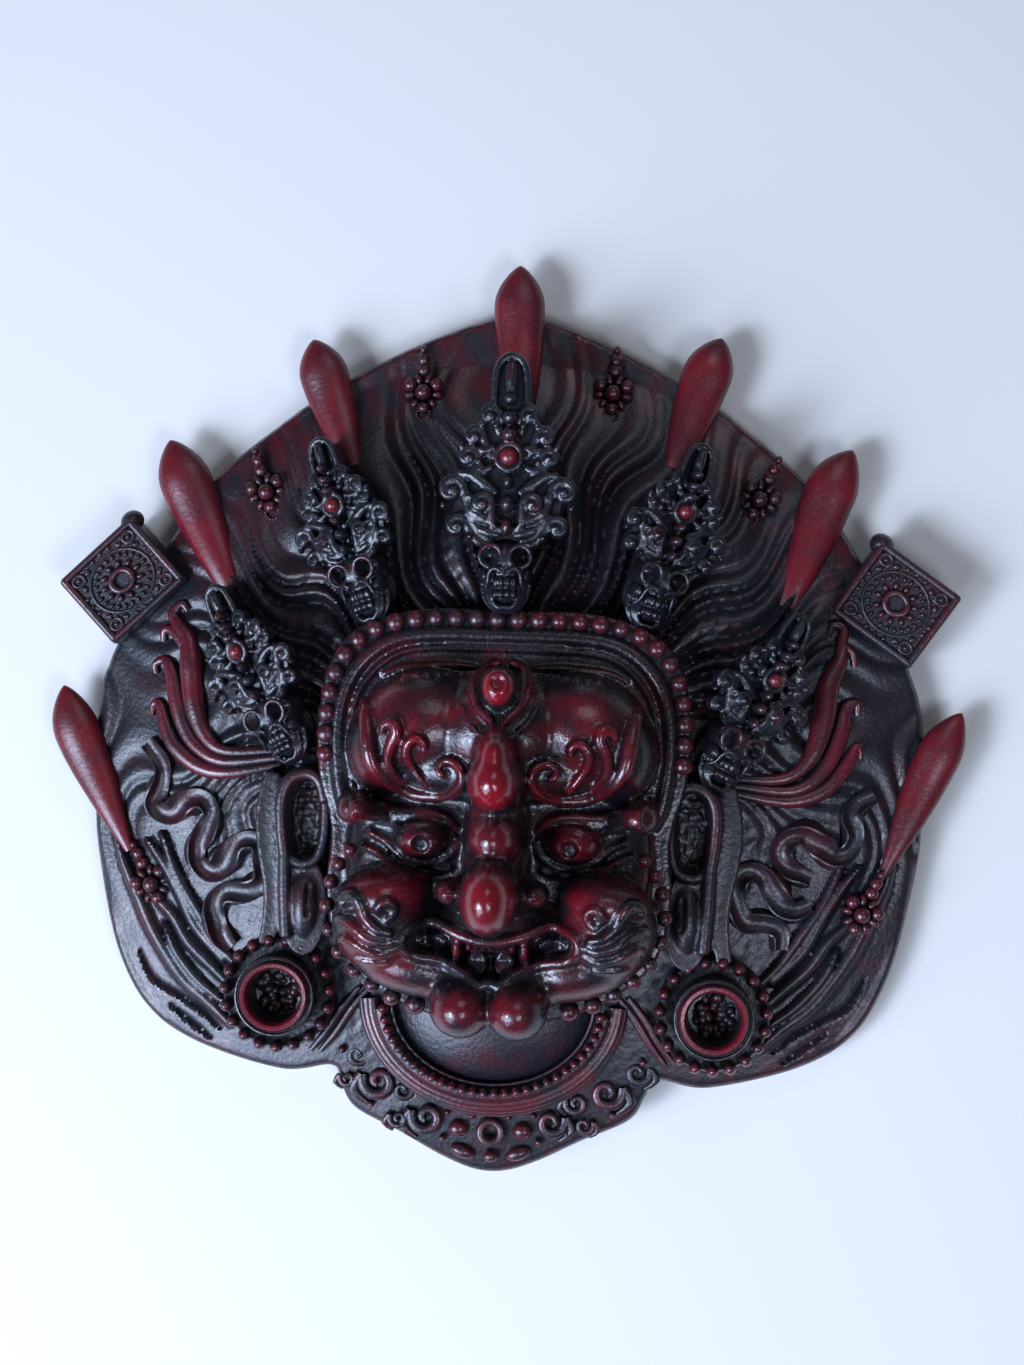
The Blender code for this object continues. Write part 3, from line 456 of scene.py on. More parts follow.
# Rosette plaques on the shoulders
# Two square tiles stand on their corners at the fan's shoulders, each with a knob on its top corner.
# A raised border frames a rope ring, a ring of petals and a drilled cup; they are cast with the plate.
plaque_half_diagonal = 20.9
plaque_low = 5.2
plaque_top = 18.8
plaque_border = 1.3
corner_inset = 3.4
# Petals, rope and cup of a tile: count, radius, lift, half sizes, lean with the ring or not, and sides
plaque_rings = [
    (24, 8.6, 0.2, (1.05, 0.75, 0.95), 1, 8),
    (24, 12.2, 0.0, (0.95, 0.95, 0.8), 0, 8),
    (11, 5.9, 0.4, (1.35, 1.05, 1.2), 1, 10),
]
# Middle of each tile, and the leans of its level and of its upright diagonal, a little out of square
plaque_places = [((-125.2, 40.9), 3.2, -5.4), ((122.8, 40.9), 7.1, 13.9)]


def ball(bm, place, size, lean=0.0, sides=16, rings=None):
    """An egg of resin: half sizes along X, Y and Z, leaning by an angle in the mask's plane."""
    at = Matrix.Translation(Vector(place)) @ Matrix.Rotation(lean, 4, "Z") @ Matrix.Diagonal((*size, 1))
    bmesh.ops.create_uvsphere(bm, u_segments=sides, v_segments=rings or sides // 2 + 1, radius=1, matrix=at)


def tubes(name, lines, steps=5, sides=10, flat=1.0, section=None):
    """Modelled strings: each line is a list of x, y, z, half width and, where it twists, its tilt."""
    shape = bpy.data.curves.new(name + "_section", "CURVE")
    ring = shape.splines.new("POLY")
    if section is None:
        turns = [math.tau * number / sides for number in range(sides)]
        section = [(math.cos(turn), flat * math.sin(turn)) for turn in turns]
    ring.points.add(len(section) - 1)
    for point, (across, up) in zip(ring.points, section):
        point.co = (across, up, 0, 1)
    ring.use_cyclic_u = True
    guide = bpy.data.objects.new(name + "_section", shape)
    bpy.context.scene.collection.objects.link(guide)
    curve = bpy.data.curves.new(name, "CURVE")
    curve.dimensions = "3D"
    curve.twist_mode = "Z_UP"
    curve.bevel_mode = "OBJECT"
    curve.bevel_object = guide
    curve.use_fill_caps = True
    for line in lines:
        points = smooth(line, steps=steps)
        spline = curve.splines.new("POLY")
        spline.points.add(len(points) - 1)
        for point, (x, y, z, half_width, *tilt) in zip(spline.points, points):
            point.co = (x, y, z, 1)
            point.radius = half_width
            point.tilt = math.radians(sum(tilt))
    thing = bpy.data.objects.new(name, curve)
    bpy.context.scene.collection.objects.link(thing)
    made = baked(thing)
    bpy.data.objects.remove(guide, do_unlink=True)
    return made


def joined(name, things):
    """One mesh object from several shapes."""
    bm = bmesh.new()
    for thing in things:
        bm.from_mesh(thing.data)
        bpy.data.objects.remove(thing, do_unlink=True)
    bmesh.ops.recalc_face_normals(bm, faces=bm.faces)
    return mesh_object(name, bm)


def ring_line(x, y, z, radius_x, radius_y, thick, points=20):
    """A closed ring as a line whose ends overlap a little."""
    turns = np.linspace(0, math.tau, points + 1)
    return [(x + radius_x * math.cos(t), y + radius_y * math.sin(t), z, thick) for t in turns]


def plaque(middle, level, upright):
    """One tile with its border, rings, corner studs and knob, set a little out of square."""
    square = plaque_half_diagonal * math.sqrt(2)
    level = math.radians(level)
    upright = math.radians(upright)
    askew = Matrix(((math.cos(level), -math.sin(upright), 0, middle[0]),
                    (math.sin(level), math.cos(upright), 0, middle[1]),
                    (0, 0, 1, 0),
                    (0, 0, 0, 1)))
    place = askew @ Matrix.Rotation(math.pi / 4, 4, "Z")
    bm = bmesh.new()
    core = Matrix.Translation((0, 0, (plaque_low + plaque_top) / 2))
    bmesh.ops.create_cube(bm, size=1,
                          matrix=core @ Matrix.Diagonal((square, square, plaque_top - plaque_low, 1)))
    bmesh.ops.bevel(bm, geom=list(bm.edges), offset=0.5, segments=2, affect="EDGES")
    half = square / 2 - plaque_border
    lines = []
    corners = [(-half, -half), (half, -half), (half, half), (-half, half)]
    for start, end in zip(corners, corners[1:] + corners[:1]):
        lines.append([(*start, plaque_top, 1.35), (*end, plaque_top, 1.35)])
    lines.append(ring_line(0, 0, plaque_top, 10.4, 10.4, 0.6))
    lines.append(ring_line(0, 0, plaque_top + 0.7, 3.5, 3.5, 1.2))
    away = half - corner_inset
    for spot_x, spot_y in ((-1, -1), (1, -1), (1, 1), (-1, 1)):
        lines.append(ring_line(spot_x * away, spot_y * away, plaque_top + 0.2, 1.9, 1.9, 0.6, 12))
        ball(bm, (spot_x * away, spot_y * away, plaque_top), (0.9, 0.9, 1.0), sides=10)
        ball(bm, (spot_x * (away - 3.6), spot_y * away, plaque_top), (1.3, 0.9, 0.9), sides=8)
        ball(bm, (spot_x * away, spot_y * (away - 3.6), plaque_top), (0.9, 1.3, 0.9), sides=8)
    for count, radius, lift, size, leans, sides in plaque_rings:
        for number in range(count):
            angle = math.tau * number / count
            spot = (radius * math.cos(angle), radius * math.sin(angle), plaque_top + lift)
            ball(bm, spot, size, leans * angle, sides)
    ball(bm, (half + 0.3, half + 0.3, plaque_top - 3.4), (3.7, 3.7, 4.6), 0, 24)
    made = joined("plaque", [mesh_object("tile", bm), tubes("tile_lines", lines, 2)])
    made.data.transform(place)
    x, y, z = places_of(made.data).T
    reach = np.hypot(x - middle[0], y - middle[1])
    border = np.where((reach > 13.5) & (z > plaque_top + 0.4), 0.22, -0.05)
    rubbed_zone(made, np.where(reach < 7.4, 0.35, border))
    return made


plaques = joined("rosette_plaques", [plaque(*place) for place in plaque_places])
settle(plaques, black_washed, 45)

# Crown of five skulls
# Each skull carries a tall jewel of scrolls with a red cabochon, standing off the fan on a solid web,
# because a one-piece mould can leave nothing free behind it. The wash lies thick here, and the edges
# of the scrolls are maroon, partly from wiping and partly as a painted highlight.
# Name and foot of each piece, its lean and turn in degrees, and its width and height against the middle one
crown_places = [
    ("middle", (0.8, 34.0, 38.0), 0.0, 0.0, 1.0, 1.0),
    ("inner_left", (-37.3, 30.7, 31.0), -18.0, -22.0, 0.84, 0.67),
    ("inner_right", (39.9, 31.2, 31.0), 16.0, 22.0, 0.84, 0.67),
    ("outer_left", (-60.5, -12.8, 29.0), -26.5, -26.0, 0.84, 0.69),
    ("outer_right", (62.6, -16.7, 29.0), 25.0, 26.0, 0.84, 0.69),
]
web_drop = 10.2
web_low = 8.0
jewel_foot = 20.0
# Right half of the web's edge under a jewel
jewel_edge = [(0, 20), (8, 20), (13, 24), (16.5, 34), (12, 46), (9, 54), (5.5, 62), (5, 74), (0, 79)]
# Scrolls of the right half: root on the stem, middle of the curl, radius, thickness, height
jewel_scrolls = [
    ((4.5, 20.6), (17.2, 36.2), 4.3, 2.0, 10.8),
    ((3.6, 20.2), (15.4, 25.4), 3.7, 1.8, 10.4),
    ((2.6, 24.4), (7.8, 32.4), 3.3, 1.7, 12.2),
    ((2.8, 36.5), (12.4, 46.4), 3.2, 1.65, 10.8),
    ((3.0, 45.5), (10.8, 52.8), 3.2, 1.6, 10.8),
    ((2.4, 53.0), (6.1, 59.4), 3.2, 1.5, 11.0),
]
jewel_leaves = [
    [(3.0, 35.5, 1.3), (7.5, 38.4, 2.1), (11.5, 41.0, 1.8), (15.4, 41.4, 0.9)],
    [(4.8, 43.8, 1.1), (7.6, 42.4, 1.4), (10.4, 43.2, 1.2), (12.6, 41.8, 0.7)],
    [(2.4, 28.2, 1.2), (6.0, 27.2, 1.7), (10.4, 29.6, 1.8), (12.8, 31.6, 0.9)],
    [(2.2, 22.8, 1.0), (5.2, 23.4, 1.5), (8.6, 24.6, 1.2)],
    [(4.6, 50.0, 1.0), (7.2, 48.4, 1.3), (9.8, 49.2, 0.8)],
]
jewel_pearls = [(4.9, 27.8, 1.5), (4.4, 36.0, 1.2), (8.3, 56.6, 1.2), (14.6, 49.6, 1.2), (4.2, 56.2, 1.3),
                (11.6, 34.4, 1.3), (19.6, 31.4, 1.2), (11.2, 22.2, 1.1), (9.0, 45.2, 1.1)]
# Row of stones up the middle: place, half length along and half width across
jewel_stones = [(64.1, 2.2, 2.2), (58.6, 2.5, 2.5), (53.4, 2.8, 2.5), (39.0, 1.9, 2.6), (32.4, 2.5, 3.0),
                (25.4, 1.8, 3.1)]
cabochon_at = 46.6
eye_socket = (4.5, 16.3)
socket_radius = 2.5
socket_depth = 4.5
skull_teeth = 4
skull_tooth_pitch = 1.9
crown_grain = 0.46


def fused(thing, grain, rounds, factor=0.5):
    """Melt overlapping shapes into one skin, as they are in a casting, and soften its edges."""
    skin = thing.modifiers.new("skin", "REMESH")
    skin.mode = "VOXEL"
    skin.voxel_size = grain
    soft = thing.modifiers.new("soft", "SMOOTH")
    soft.factor = factor
    soft.iterations = rounds
    return baked(thing)


def curl(x, y, z, radius, hand, start=0.0, turns=1.25, lift=1.4):
    """A volute: a string that winds in towards its middle, thinning and rising as it goes."""
    line = []
    for share in np.linspace(0, 1, 12):
        turn = start + hand * math.tau * turns * share
        away = radius * (0.78 - 0.66 * share)
        thick = radius * (0.3 - 0.12 * share)
        line.append((x + away * math.cos(turn), y + away * math.sin(turn), z + lift * share, thick))
    return line


def scroll(root, middle, radius, thick, height):
    """A fern head: a stem that swings up from its root and winds in on a raised curl."""
    u, v = middle
    line = [(*root, height - 0.6, 0.6 * thick)]
    line.append(((root[0] + u) / 2 - 0.2 * radius, (root[1] + v) / 2 - 0.55 * radius, height, 0.9 * thick))
    for share in np.linspace(0, 1, 13):
        turn = math.pi - math.tau * 1.15 * share
        away = radius * (0.92 - 0.72 * share)
        line.append((u + away * math.cos(turn), v + away * math.sin(turn), height + 1.8 * share,
                     thick * (1 - 0.5 * share)))
    return line


def skull(lines, bm):
    """A small skull: brow, ringed eye sockets, cheek arch, two rows of teeth and a striped jaw."""
    ball(bm, (0, 15.5, 5.5), (7.6, 7.4, 9.4), sides=24)
    ball(bm, (0, 6.5, 4.5), (6.2, 6.4, 7.6), sides=20)
    for hand in SIDES:
        lines.append(ring_line(hand * eye_socket[0], eye_socket[1], 14.2, 3.3, 3.3, 0.75, 16))
        ball(bm, (hand * 6.0, 10.5, 8.5), (2.2, 2.6, 4.5), sides=12)
        lines.append([(hand * 0.9, 11.2, 15.6, 0.6), (hand * 2.6, 12.6, 15.4, 0.8),
                      (hand * 4.6, 11.4, 14.4, 0.8), (hand * 5.2, 8.0, 12.9, 0.7),
                      (hand * 6.4, 6.2, 11.2, 0.6)])
        for reach, height in ((7.6, 8.4), (6.1, 9.8), (4.7, 10.8)):
            lines.append([(hand * reach, 8.4, height - 0.8, 0.55), (hand * reach * 0.86, 3.6, height, 0.65),
                          (hand * reach * 0.45, 0.2 + 0.25 * (7.6 - reach), height + 0.3, 0.65),
                          (0, -0.5 + 0.55 * (7.6 - reach), height + 0.4, 0.65)])
    for row, half in ((8.6, 2.0), (4.9, 1.5)):
        for number in range(skull_teeth):
            across = (number - (skull_teeth - 1) / 2) * skull_tooth_pitch
            ball(bm, (across, row, 12.6 - 0.1 * across**2), (0.9, half, 1.6), sides=8)


def crown_piece(name, foot, lean, turn, wide, tall):
    """One skull with its jewel, leaned over the fan on its web, and the place for its red stone."""
    tilt = Matrix.Rotation(-math.radians(lean), 4, "Z") @ Matrix.Rotation(math.radians(turn), 4, "Y")
    at = Matrix.Translation(foot) @ tilt
    small = (wide + tall) / 2

    def along_jewel(v):
        return jewel_foot + (v - jewel_foot) * tall

    def flat(u, v):
        return (u * wide, along_jewel(v))

    bm = bmesh.new()
    lines = []
    skull(lines, bm)
    for v, half, long in jewel_stones:
        ball(bm, (0, along_jewel(v), 12.6), (half * wide, long * tall, 3.6), sides=14)
    lines.append(ring_line(0, along_jewel(cabochon_at), 13.2, 3.9 * wide, 3.9 * wide, 0.95, 18))
    ball(bm, (0, along_jewel(cabochon_at), 10.5), (4.6 * wide, 4.6 * wide, 3.6), sides=20)
    hood = [(-5.0, 60.5), (-4.9, 68.5), (-3.7, 75.2), (0, 77.8), (3.7, 75.2), (4.9, 68.5), (5.0, 60.5)]
    lines.append([(*flat(u, v), 11, 1.3 * wide) for u, v in hood])
    ridge = [(65, 1.6), (69, 2.1), (73, 1.9), (75.6, 1.2)]
    lines.append([(*flat(0, v), 12.2, thick * wide) for v, thick in ridge])
    for hand in SIDES:
        for root, middle, radius, thick, height in jewel_scrolls:
            line = scroll(flat(*root), flat(*middle), radius * small, thick * small, height)
            lines.append([(hand * u, v, w, half) for u, v, w, half in line])
            u, v = flat(*middle)
            ball(bm, (hand * u, v, height - 1.5), (radius * 0.9 * small, radius * 0.9 * small, 2.4),
                 sides=14)
            ball(bm, (hand * u, v, height + 1.6), (0.3 * radius * small, 0.3 * radius * small, 1.5),
                 sides=8)
        for leaf in jewel_leaves:
            lines.append([(hand * u * wide, along_jewel(v), 11.6, half * small) for u, v, half in leaf])
        for u, v, size in jewel_pearls:
            ball(bm, (hand * u * wide, along_jewel(v), 11.4), (size * small, size * small, 1.9), sides=10)
    carving = joined(name, [mesh_object("stones", bm), tubes("scrolls", lines, 3, 8)])
    carving = fused(carving, crown_grain, 1)
    places = places_of(carving.data)
    u, v, w = places.T
    for hand in SIDES:
        socket = np.hypot(u - hand * eye_socket[0], v - eye_socket[1])
        pressed = np.where((socket < socket_radius) & (w > 8), 1 - (socket / socket_radius) ** 2, 0)
        places[:, 2] -= socket_depth * pressed
    set_places(carving.data, places)
    rubbed_zone(carving, 0.3 * step_between(12.4, 14.6, w) * (np.abs(v - 9) > 7))
    carving.data.transform(at)
    half_edge = [flat(u, v) for u, v in jewel_edge]
    edge = smooth(half_edge + [(-u, v) for u, v in reversed(half_edge[1:-1])], 3, closed=True)
    web = bmesh.new()
    top = web.faces.new([web.verts.new(at @ Vector((u, v, web_drop))) for u, v in edge])
    dropped = bmesh.ops.extrude_face_region(web, geom=[top], use_keep_orig=True)
    for item in dropped["geom"]:
        if isinstance(item, bmesh.types.BMVert):
            item.co.z = web_low
    post_top = at @ Vector((0, 10, 4))
    post = Matrix.Translation((post_top.x, post_top.y, (post_top.z + web_low) / 2))
    bmesh.ops.create_cone(web, cap_ends=True, segments=20, radius1=8.4, radius2=7.6,
                          depth=post_top.z - web_low, matrix=post)
    whole = joined(name, [carving, mesh_object("web", web)])
    return whole, at @ Vector((0, along_jewel(cabochon_at), 13.6))


# The wash stays thick in fine carving: almost black, with maroon on the edges that is partly wear and
# partly a painted highlight
crown_black = cast_resin("thickly_washed_resin", "#0c1016", "#13131a", "#48111a", -0.12, 0.25, 0.26)
cabochons = bmesh.new()
for side_name, foot, lean, turn, wide, tall in crown_places:
    piece, stone = crown_piece("crown_" + side_name, foot, lean, turn, wide, tall)
    settle(piece, crown_black, 70)
    ball(cabochons, stone, (2.8 * wide, 2.8 * wide, 2.5), sides=20)

# The face
# The face is the deepest part of the casting: swollen brows, eyes and cheeks as round lumps, a nose of
# three bulbs, flame-shaped eyebrows and a fanged mouth. Round backs are polished to clear red by
# rubbing, and every crease keeps its black wash.
block_top = 41.0
face_low = 4.0
face_base_grain = 0.95
face_grain = 0.69
hidden_below = 39.0
face_kept = 0.5
# The whole face sits a little to the right of the fan's middle
face_shift = 1.3
# Place, half sizes, lean and how far each swelling is rubbed
paired_lumps = [
    ((24, -2.0, 46), (20.5, 17.5, 19.5), -6, 0.42),
    ((36, -9, 44), (12, 15, 17), 0, 0.15),
    ((22.6, -36.0, 54), (8.6, 5.8, 9.5), 0, 0.35),
    ((43.6, -27.2, 55), (5.6, 5.6, 9), -10, 0.35),
    ((33.5, -52.5, 58), (14.0, 8.4, 16.5), -8, 0.45),
    ((33.5, -62, 53), (16.0, 15.5, 19.5), 8, 0.2),
    ((12.6, -50.2, 68), (4.6, 4.2, 10.5), 0, 0.3),
    ((8.3, -84.8, 64), (9.6, 9.3, 14.5), 0, 0.26),
    ((25, -73.5, 49), (21, 10.5, 18.5), 14, 0.24),
]
middle_lumps = [
    ((0, -2, 46), (44, 17, 16), 0, 0.0),
    ((0, -42, 42), (47, 46, 12), 0, -0.1),
    ((0, -3, 48), (24, 17, 20.5), 0, 0.2),
    ((0, -15, 48), (34, 9.5, 17), 0, 0.1),
    ((0, 10.6, 68.5), (5.6, 6.6, 7), 0, 0.7),
    ((0, -17.2, 72), (8.5, 9.6, 16.5), 0, 0.85),
    ((0, -10.5, 68), (6.4, 9.5, 17), 0, 0.6),
    ((0, -34, 66), (8.4, 9.2, 17), 0, 0.55),
    ((0, -50.4, 80), (8.9, 11.6, 19.5), 0, 0.9),
    ((0, -36, 60), (10, 24, 16), 0, 0.1),
    ((0, -51, 62), (15, 7, 12), 0, 0.15),
    ((0, -64, 50), (29, 12, 19), 0, 0.1),
    ((0, -78, 52), (24, 12, 17), 0, 0.1),
]
face_edge = [(0, 34.5), (24, 34.3), (41.5, 30.5), (53, 20.5), (57.5, 5), (57.5, -16), (53, -34),
             (53.5, -55)]
face_edge += [(50, -71), (40, -82), (26, -89.5), (12, -93)]
band_line = [(0, 26.6), (24, 26.2), (36.5, 23.4), (46, 15.4), (50.6, 4), (51.4, -10), (49.5, -24),
             (46.5, -31)]
inner_band_line = [(0, 22.4), (23, 22.0), (34, 19.6), (42.4, 12.2), (46.6, 3), (47.4, -10), (46.2, -22)]
# Lines on the right half of the face: x, y and half width at each place
brow_lines = [
    [(42, 5.4, 1.2), (40.6, 1.6, 1.9), (39.6, -4, 2.1), (38.4, -11.6, 1.9), (35.6, -17, 1.7),
     (31.2, -20.8, 1.5), (25.6, -22.8, 1.45), (19.6, -23.2, 1.4), (14.6, -22.4, 1.35), (11.2, -19.8, 1.3),
     (10.1, -16.4, 1.2), (11.6, -13.2, 1.1), (15, -11.8, 1.0), (17.6, -13.4, 0.9), (17.2, -15.8, 0.85),
     (15.4, -16.2, 0.8)],
    [(34.6, -4.2, 0.8), (34.3, -2.0, 1.1), (31.4, -1.0, 1.4), (30.2, -4, 1.5), (32.2, -8.6, 1.4),
     (33, -12.4, 1.3), (31.6, -16.2, 1.2), (28.4, -19.6, 1.0)],
    [(22.2, -9.6, 0.8), (21.8, -7.0, 1.0), (24.6, -5.4, 1.2), (27.0, -8.0, 1.2), (27.2, -11.4, 1.1),
     (25.4, -14.6, 1.0), (23.4, -17.6, 0.9), (21.0, -20.6, 0.8)],
]
upper_lids = [[(43.5, -27.2, 3.2), (39.5, -27.6, 3.6), (34, -29, 3.2), (28.5, -29.2, 2.6), (22, -28.8, 2.3),
               (16, -30.0, 1.9), (12, -33.0, 1.2)]]
lid_lines = [
    [(37, -31.4, 0.8), (32.2, -31.8, 1.0), (28.4, -33.2, 1.0), (24.4, -31.6, 1.1), (18, -31.6, 1.0),
     (13, -34.6, 0.9)],
    [(11.6, -35.5, 0.9), (13.8, -40.4, 1.2), (20, -43.6, 1.3), (28, -42.6, 1.3), (34, -37.6, 1.1),
     (39.6, -35.0, 0.8)],
    [(13.5, -44.2, 0.8), (21, -46.8, 1.0), (29.5, -45.6, 1.1), (36, -41.4, 1.0), (42, -39.2, 0.8)],
]
whisker_lines = [
    [(40.2, -55.8, 0.9), (43.8, -56.2, 1.1), (44.4, -53.0, 1.3), (41, -51.8, 1.5), (38.4, -54.4, 1.6),
     (36.8, -58.6, 1.5), (33, -62, 1.3), (28.6, -63, 0.9)],
    [(31.8, -57.6, 0.8), (33.2, -55.6, 1.1), (30.4, -53.2, 1.3), (28.2, -56, 1.3), (31.2, -59.6, 1.0)],
    [(46.2, -61.8, 0.8), (45.6, -59.6, 1.1), (41.4, -60.8, 1.3), (37, -64.2, 1.4), (31.6, -66, 1.2),
     (27, -64.8, 0.8)],
    [(45.4, -66.8, 0.8), (43, -65.2, 1.0), (38.4, -67.4, 1.3), (32.8, -69.4, 1.2), (27.2, -67.4, 0.8)],
    [(41, -71.4, 0.7), (36, -72, 1.0), (30.4, -72, 0.8)],
]
third_eye_lid = [(0.8, -3.6, 0.8), (1.8, 0.2, 1.1), (6.0, 4.4, 1.4), (8.2, 9.6, 1.5), (6.6, 15.6, 1.3),
                 (1.6, 18.4, 1.0)]
third_eye_fold = [(3.4, -4.6, 0.5), (8.6, -0.4, 0.8), (11.6, 5.0, 0.7)]
hairline = [(9, 16.6, 0.6), (18, 16.8, 0.8), (30, 16.0, 0.8), (38, 13.4, 0.6)]
# Right half of the lips, upper and lower, from the corner to the middle and back
mouth_top = [(26.2, -65), (23.5, -61.5), (17, -60.0), (9.3, -63), (0, -64.8)]
mouth_bottom = [(0, -76.8), (3, -77.5), (7.4, -74.5), (15, -71.4), (23.4, -69.6)]
mouth_depth = 6.5
tooth_pitch = 2.15
pupil_place = (22.3, -37.2)
pupil_radius = 2.9
pupil_depth = 2.6
third_pupil_y = 11.8
third_pupil_radius = 2.4
third_pupil_depth = 1.6


def face_lumps():
    """Every swelling of the face: place, half sizes, lean and how far it is rubbed."""
    lumps = list(middle_lumps)
    for side in SIDES:
        lumps += [((side * x, y, z), size, side * lean, rub) for (x, y, z), size, lean, rub in paired_lumps]
    return lumps


def on_skin(line, proud=0.5):
    """Lay a flat line of x, y and half width on the skin, after stepping it finely."""
    stepped = smooth(line, 4)
    heights = [skin.ray_cast(Vector((x, y, 200)), Vector((0, 0, -1)))[0].z for x, y, _ in stepped]
    even = np.convolve(np.pad(heights, 2, mode="edge"), np.ones(5) / 5, mode="valid")
    return [(x, y, top + proud, half_width) for (x, y, half_width), top in zip(stepped, even)]


def mirrored(line):
    """The same line on the other side of the mask."""
    return [(-point[0],) + tuple(point[1:]) for point in line]


mouth_half = mouth_bottom[1:] + mouth_top[:-1]
other_half = [(-x, y) for x, y in reversed(mouth_half)]
mouth_edge = smooth(mouth_top[-1:] + other_half + mouth_bottom[:1] + mouth_half, steps=5, closed=True)

clay = bmesh.new()
block_line = smooth(face_edge + [(-x, y) for x, y in reversed(face_edge[1:])], 6, closed=True)
floor_face = clay.faces.new([clay.verts.new((x, y, face_low)) for x, y in block_line])
raised = bmesh.ops.extrude_face_region(clay, geom=[floor_face], use_keep_orig=True)
for item in raised["geom"]:
    if isinstance(item, bmesh.types.BMVert):
        item.co.z = block_top
for place, size, lean, _ in face_lumps():
    ball(clay, place, size, math.radians(lean), 56)
face_base = fused(mesh_object("face_base", clay), face_base_grain, 6, 0.6)
skin = BVHTree.FromObject(face_base, bpy.context.evaluated_depsgraph_get())

# Strings of clay laid on the skin, each with how far it is rubbed
painted = []
teeth = bmesh.new()
for carved in brow_lines:
    bolder = [(x, y, 1.22 * half) for x, y, half in carved]
    painted += [(on_skin(line, 1.8), 0.42) for line in (bolder, mirrored(bolder))]
for carved in upper_lids:
    painted += [(on_skin(line, 0.6), 0.2) for line in (carved, mirrored(carved))]
for carved in lid_lines:
    painted += [(on_skin(line, 0.6), 0.12) for line in (carved, mirrored(carved))]
for carved in whisker_lines:
    bolder = [(x, y, 1.12 * half) for x, y, half in carved]
    painted += [(on_skin(line, 0.5), 0.16) for line in (bolder, mirrored(bolder))]
for side in SIDES:
    painted.append((on_skin([(side * x, y, half) for x, y, half in third_eye_lid], 1.0), 0.4))
    painted.append((on_skin([(side * x, y, half) for x, y, half in third_eye_fold], 0.4), 0.1))
    painted.append((on_skin([(side * x, y, half) for x, y, half in hairline], 0.6), 0.25))
    painted.append(([(side * x, y, block_top - 0.5, 2.6) for x, y in smooth(band_line)], -0.1))
    painted.append(([(side * x, y, block_top + 0.3, 0.9) for x, y in smooth(inner_band_line)], -0.1))
    fang = [(side * 9.8, -62.5, 66, 2.1), (side * 10.0, -66.5, 67.4, 1.9), (side * 10.4, -71.5, 66, 0.8)]
    painted.append((fang, 0.1))
    lower = [(side * 0.8, -70, 66, 0.8), (side * 1.2, -73.4, 67, 1.0), (side * 4, -75.6, 67.5, 1.0),
             (side * 6.8, -73, 67, 0.9), (side * 7.4, -70, 66, 0.7)]
    painted.append((lower, 0.1))
    for number in range(7):
        x = side * (9.5 + 3.3 * number)
        y = 14.4 - 0.25 * number
        top = skin.ray_cast(Vector((x, y, 200)), Vector((0, 0, -1)))[0].z
        ball(teeth, (x, y, top + 0.4), (1.35, 1.3, 1.7), 0, 10)
lips = on_skin([(x, y, 1.7) for x, y in mouth_edge[::2]] + [(*mouth_edge[0], 1.7)], 0.5)
painted.append((lips, 0.08))
for number in range(-3, 4):
    ball(teeth, (number * tooth_pitch, -66.6, 66.5), (1.2, 1.7, 2.6), 0, 12)
strings = tubes("carved_lines", [line for line, _ in painted], 1, 10)
face = joined("face", [face_base, mesh_object("teeth", teeth), strings])
face = fused(face, face_grain, 2)
face_places = places_of(face.data)
x, y, z = face_places.T
in_mouth = inside(mouth_edge, x, y) & (z > 52)
mouth_gap = np.zeros(len(x))
mouth_gap[in_mouth] = step_between(1.2, 2.8, distance_to(mouth_edge, x[in_mouth], y[in_mouth]))
tooth = np.zeros(len(x))
for number in range(-3, 4):
    tooth = np.maximum(tooth, np.exp(-(((x - number * tooth_pitch) / 1.25) ** 4) - ((y + 66.4) / 2.0) ** 4))
for side in SIDES:
    tooth = np.maximum(tooth, np.exp(-(((x - side * 10.1) / 1.9) ** 4) - ((y + 67) / 4.6) ** 4))
    arch = np.hypot((x - side * 4.1) / 3.3, (y + 71.6) / 4.4)
    tooth = np.maximum(tooth, 0.62 * step_between(1.0, 0.8, arch))
    tooth = np.maximum(tooth,
                       0.3 * step_between(1.0, 0.6, np.hypot((x - side * 18) / 5.5, (y + 66.4) / 3.4)))
face_places[:, 2] = z - mouth_depth * mouth_gap * (1 - tooth)
for side in SIDES:
    pupil = np.hypot(x - side * pupil_place[0], y - pupil_place[1])
    bored = np.where((pupil < pupil_radius) & (z > 52), 1 - (pupil / pupil_radius) ** 4, 0)
    face_places[:, 2] -= pupil_depth * bored
third = np.hypot(x, y - third_pupil_y)
bored = np.where((third < third_pupil_radius) & (z > 60), 1 - (third / third_pupil_radius) ** 4, 0)
face_places[:, 2] -= third_pupil_depth * bored
set_places(face.data, face_places)
# The sides and the back of the block need fewer faces than the carving
hidden = face.vertex_groups.new(name="hidden")
hidden.add([int(number) for number in np.nonzero(z < hidden_below)[0]], 1.0, "REPLACE")
thinned = face.modifiers.new("thinned", "DECIMATE")
thinned.ratio = face_kept
thinned.vertex_group = hidden.name
face = hollowed(baked(face), 1.02)

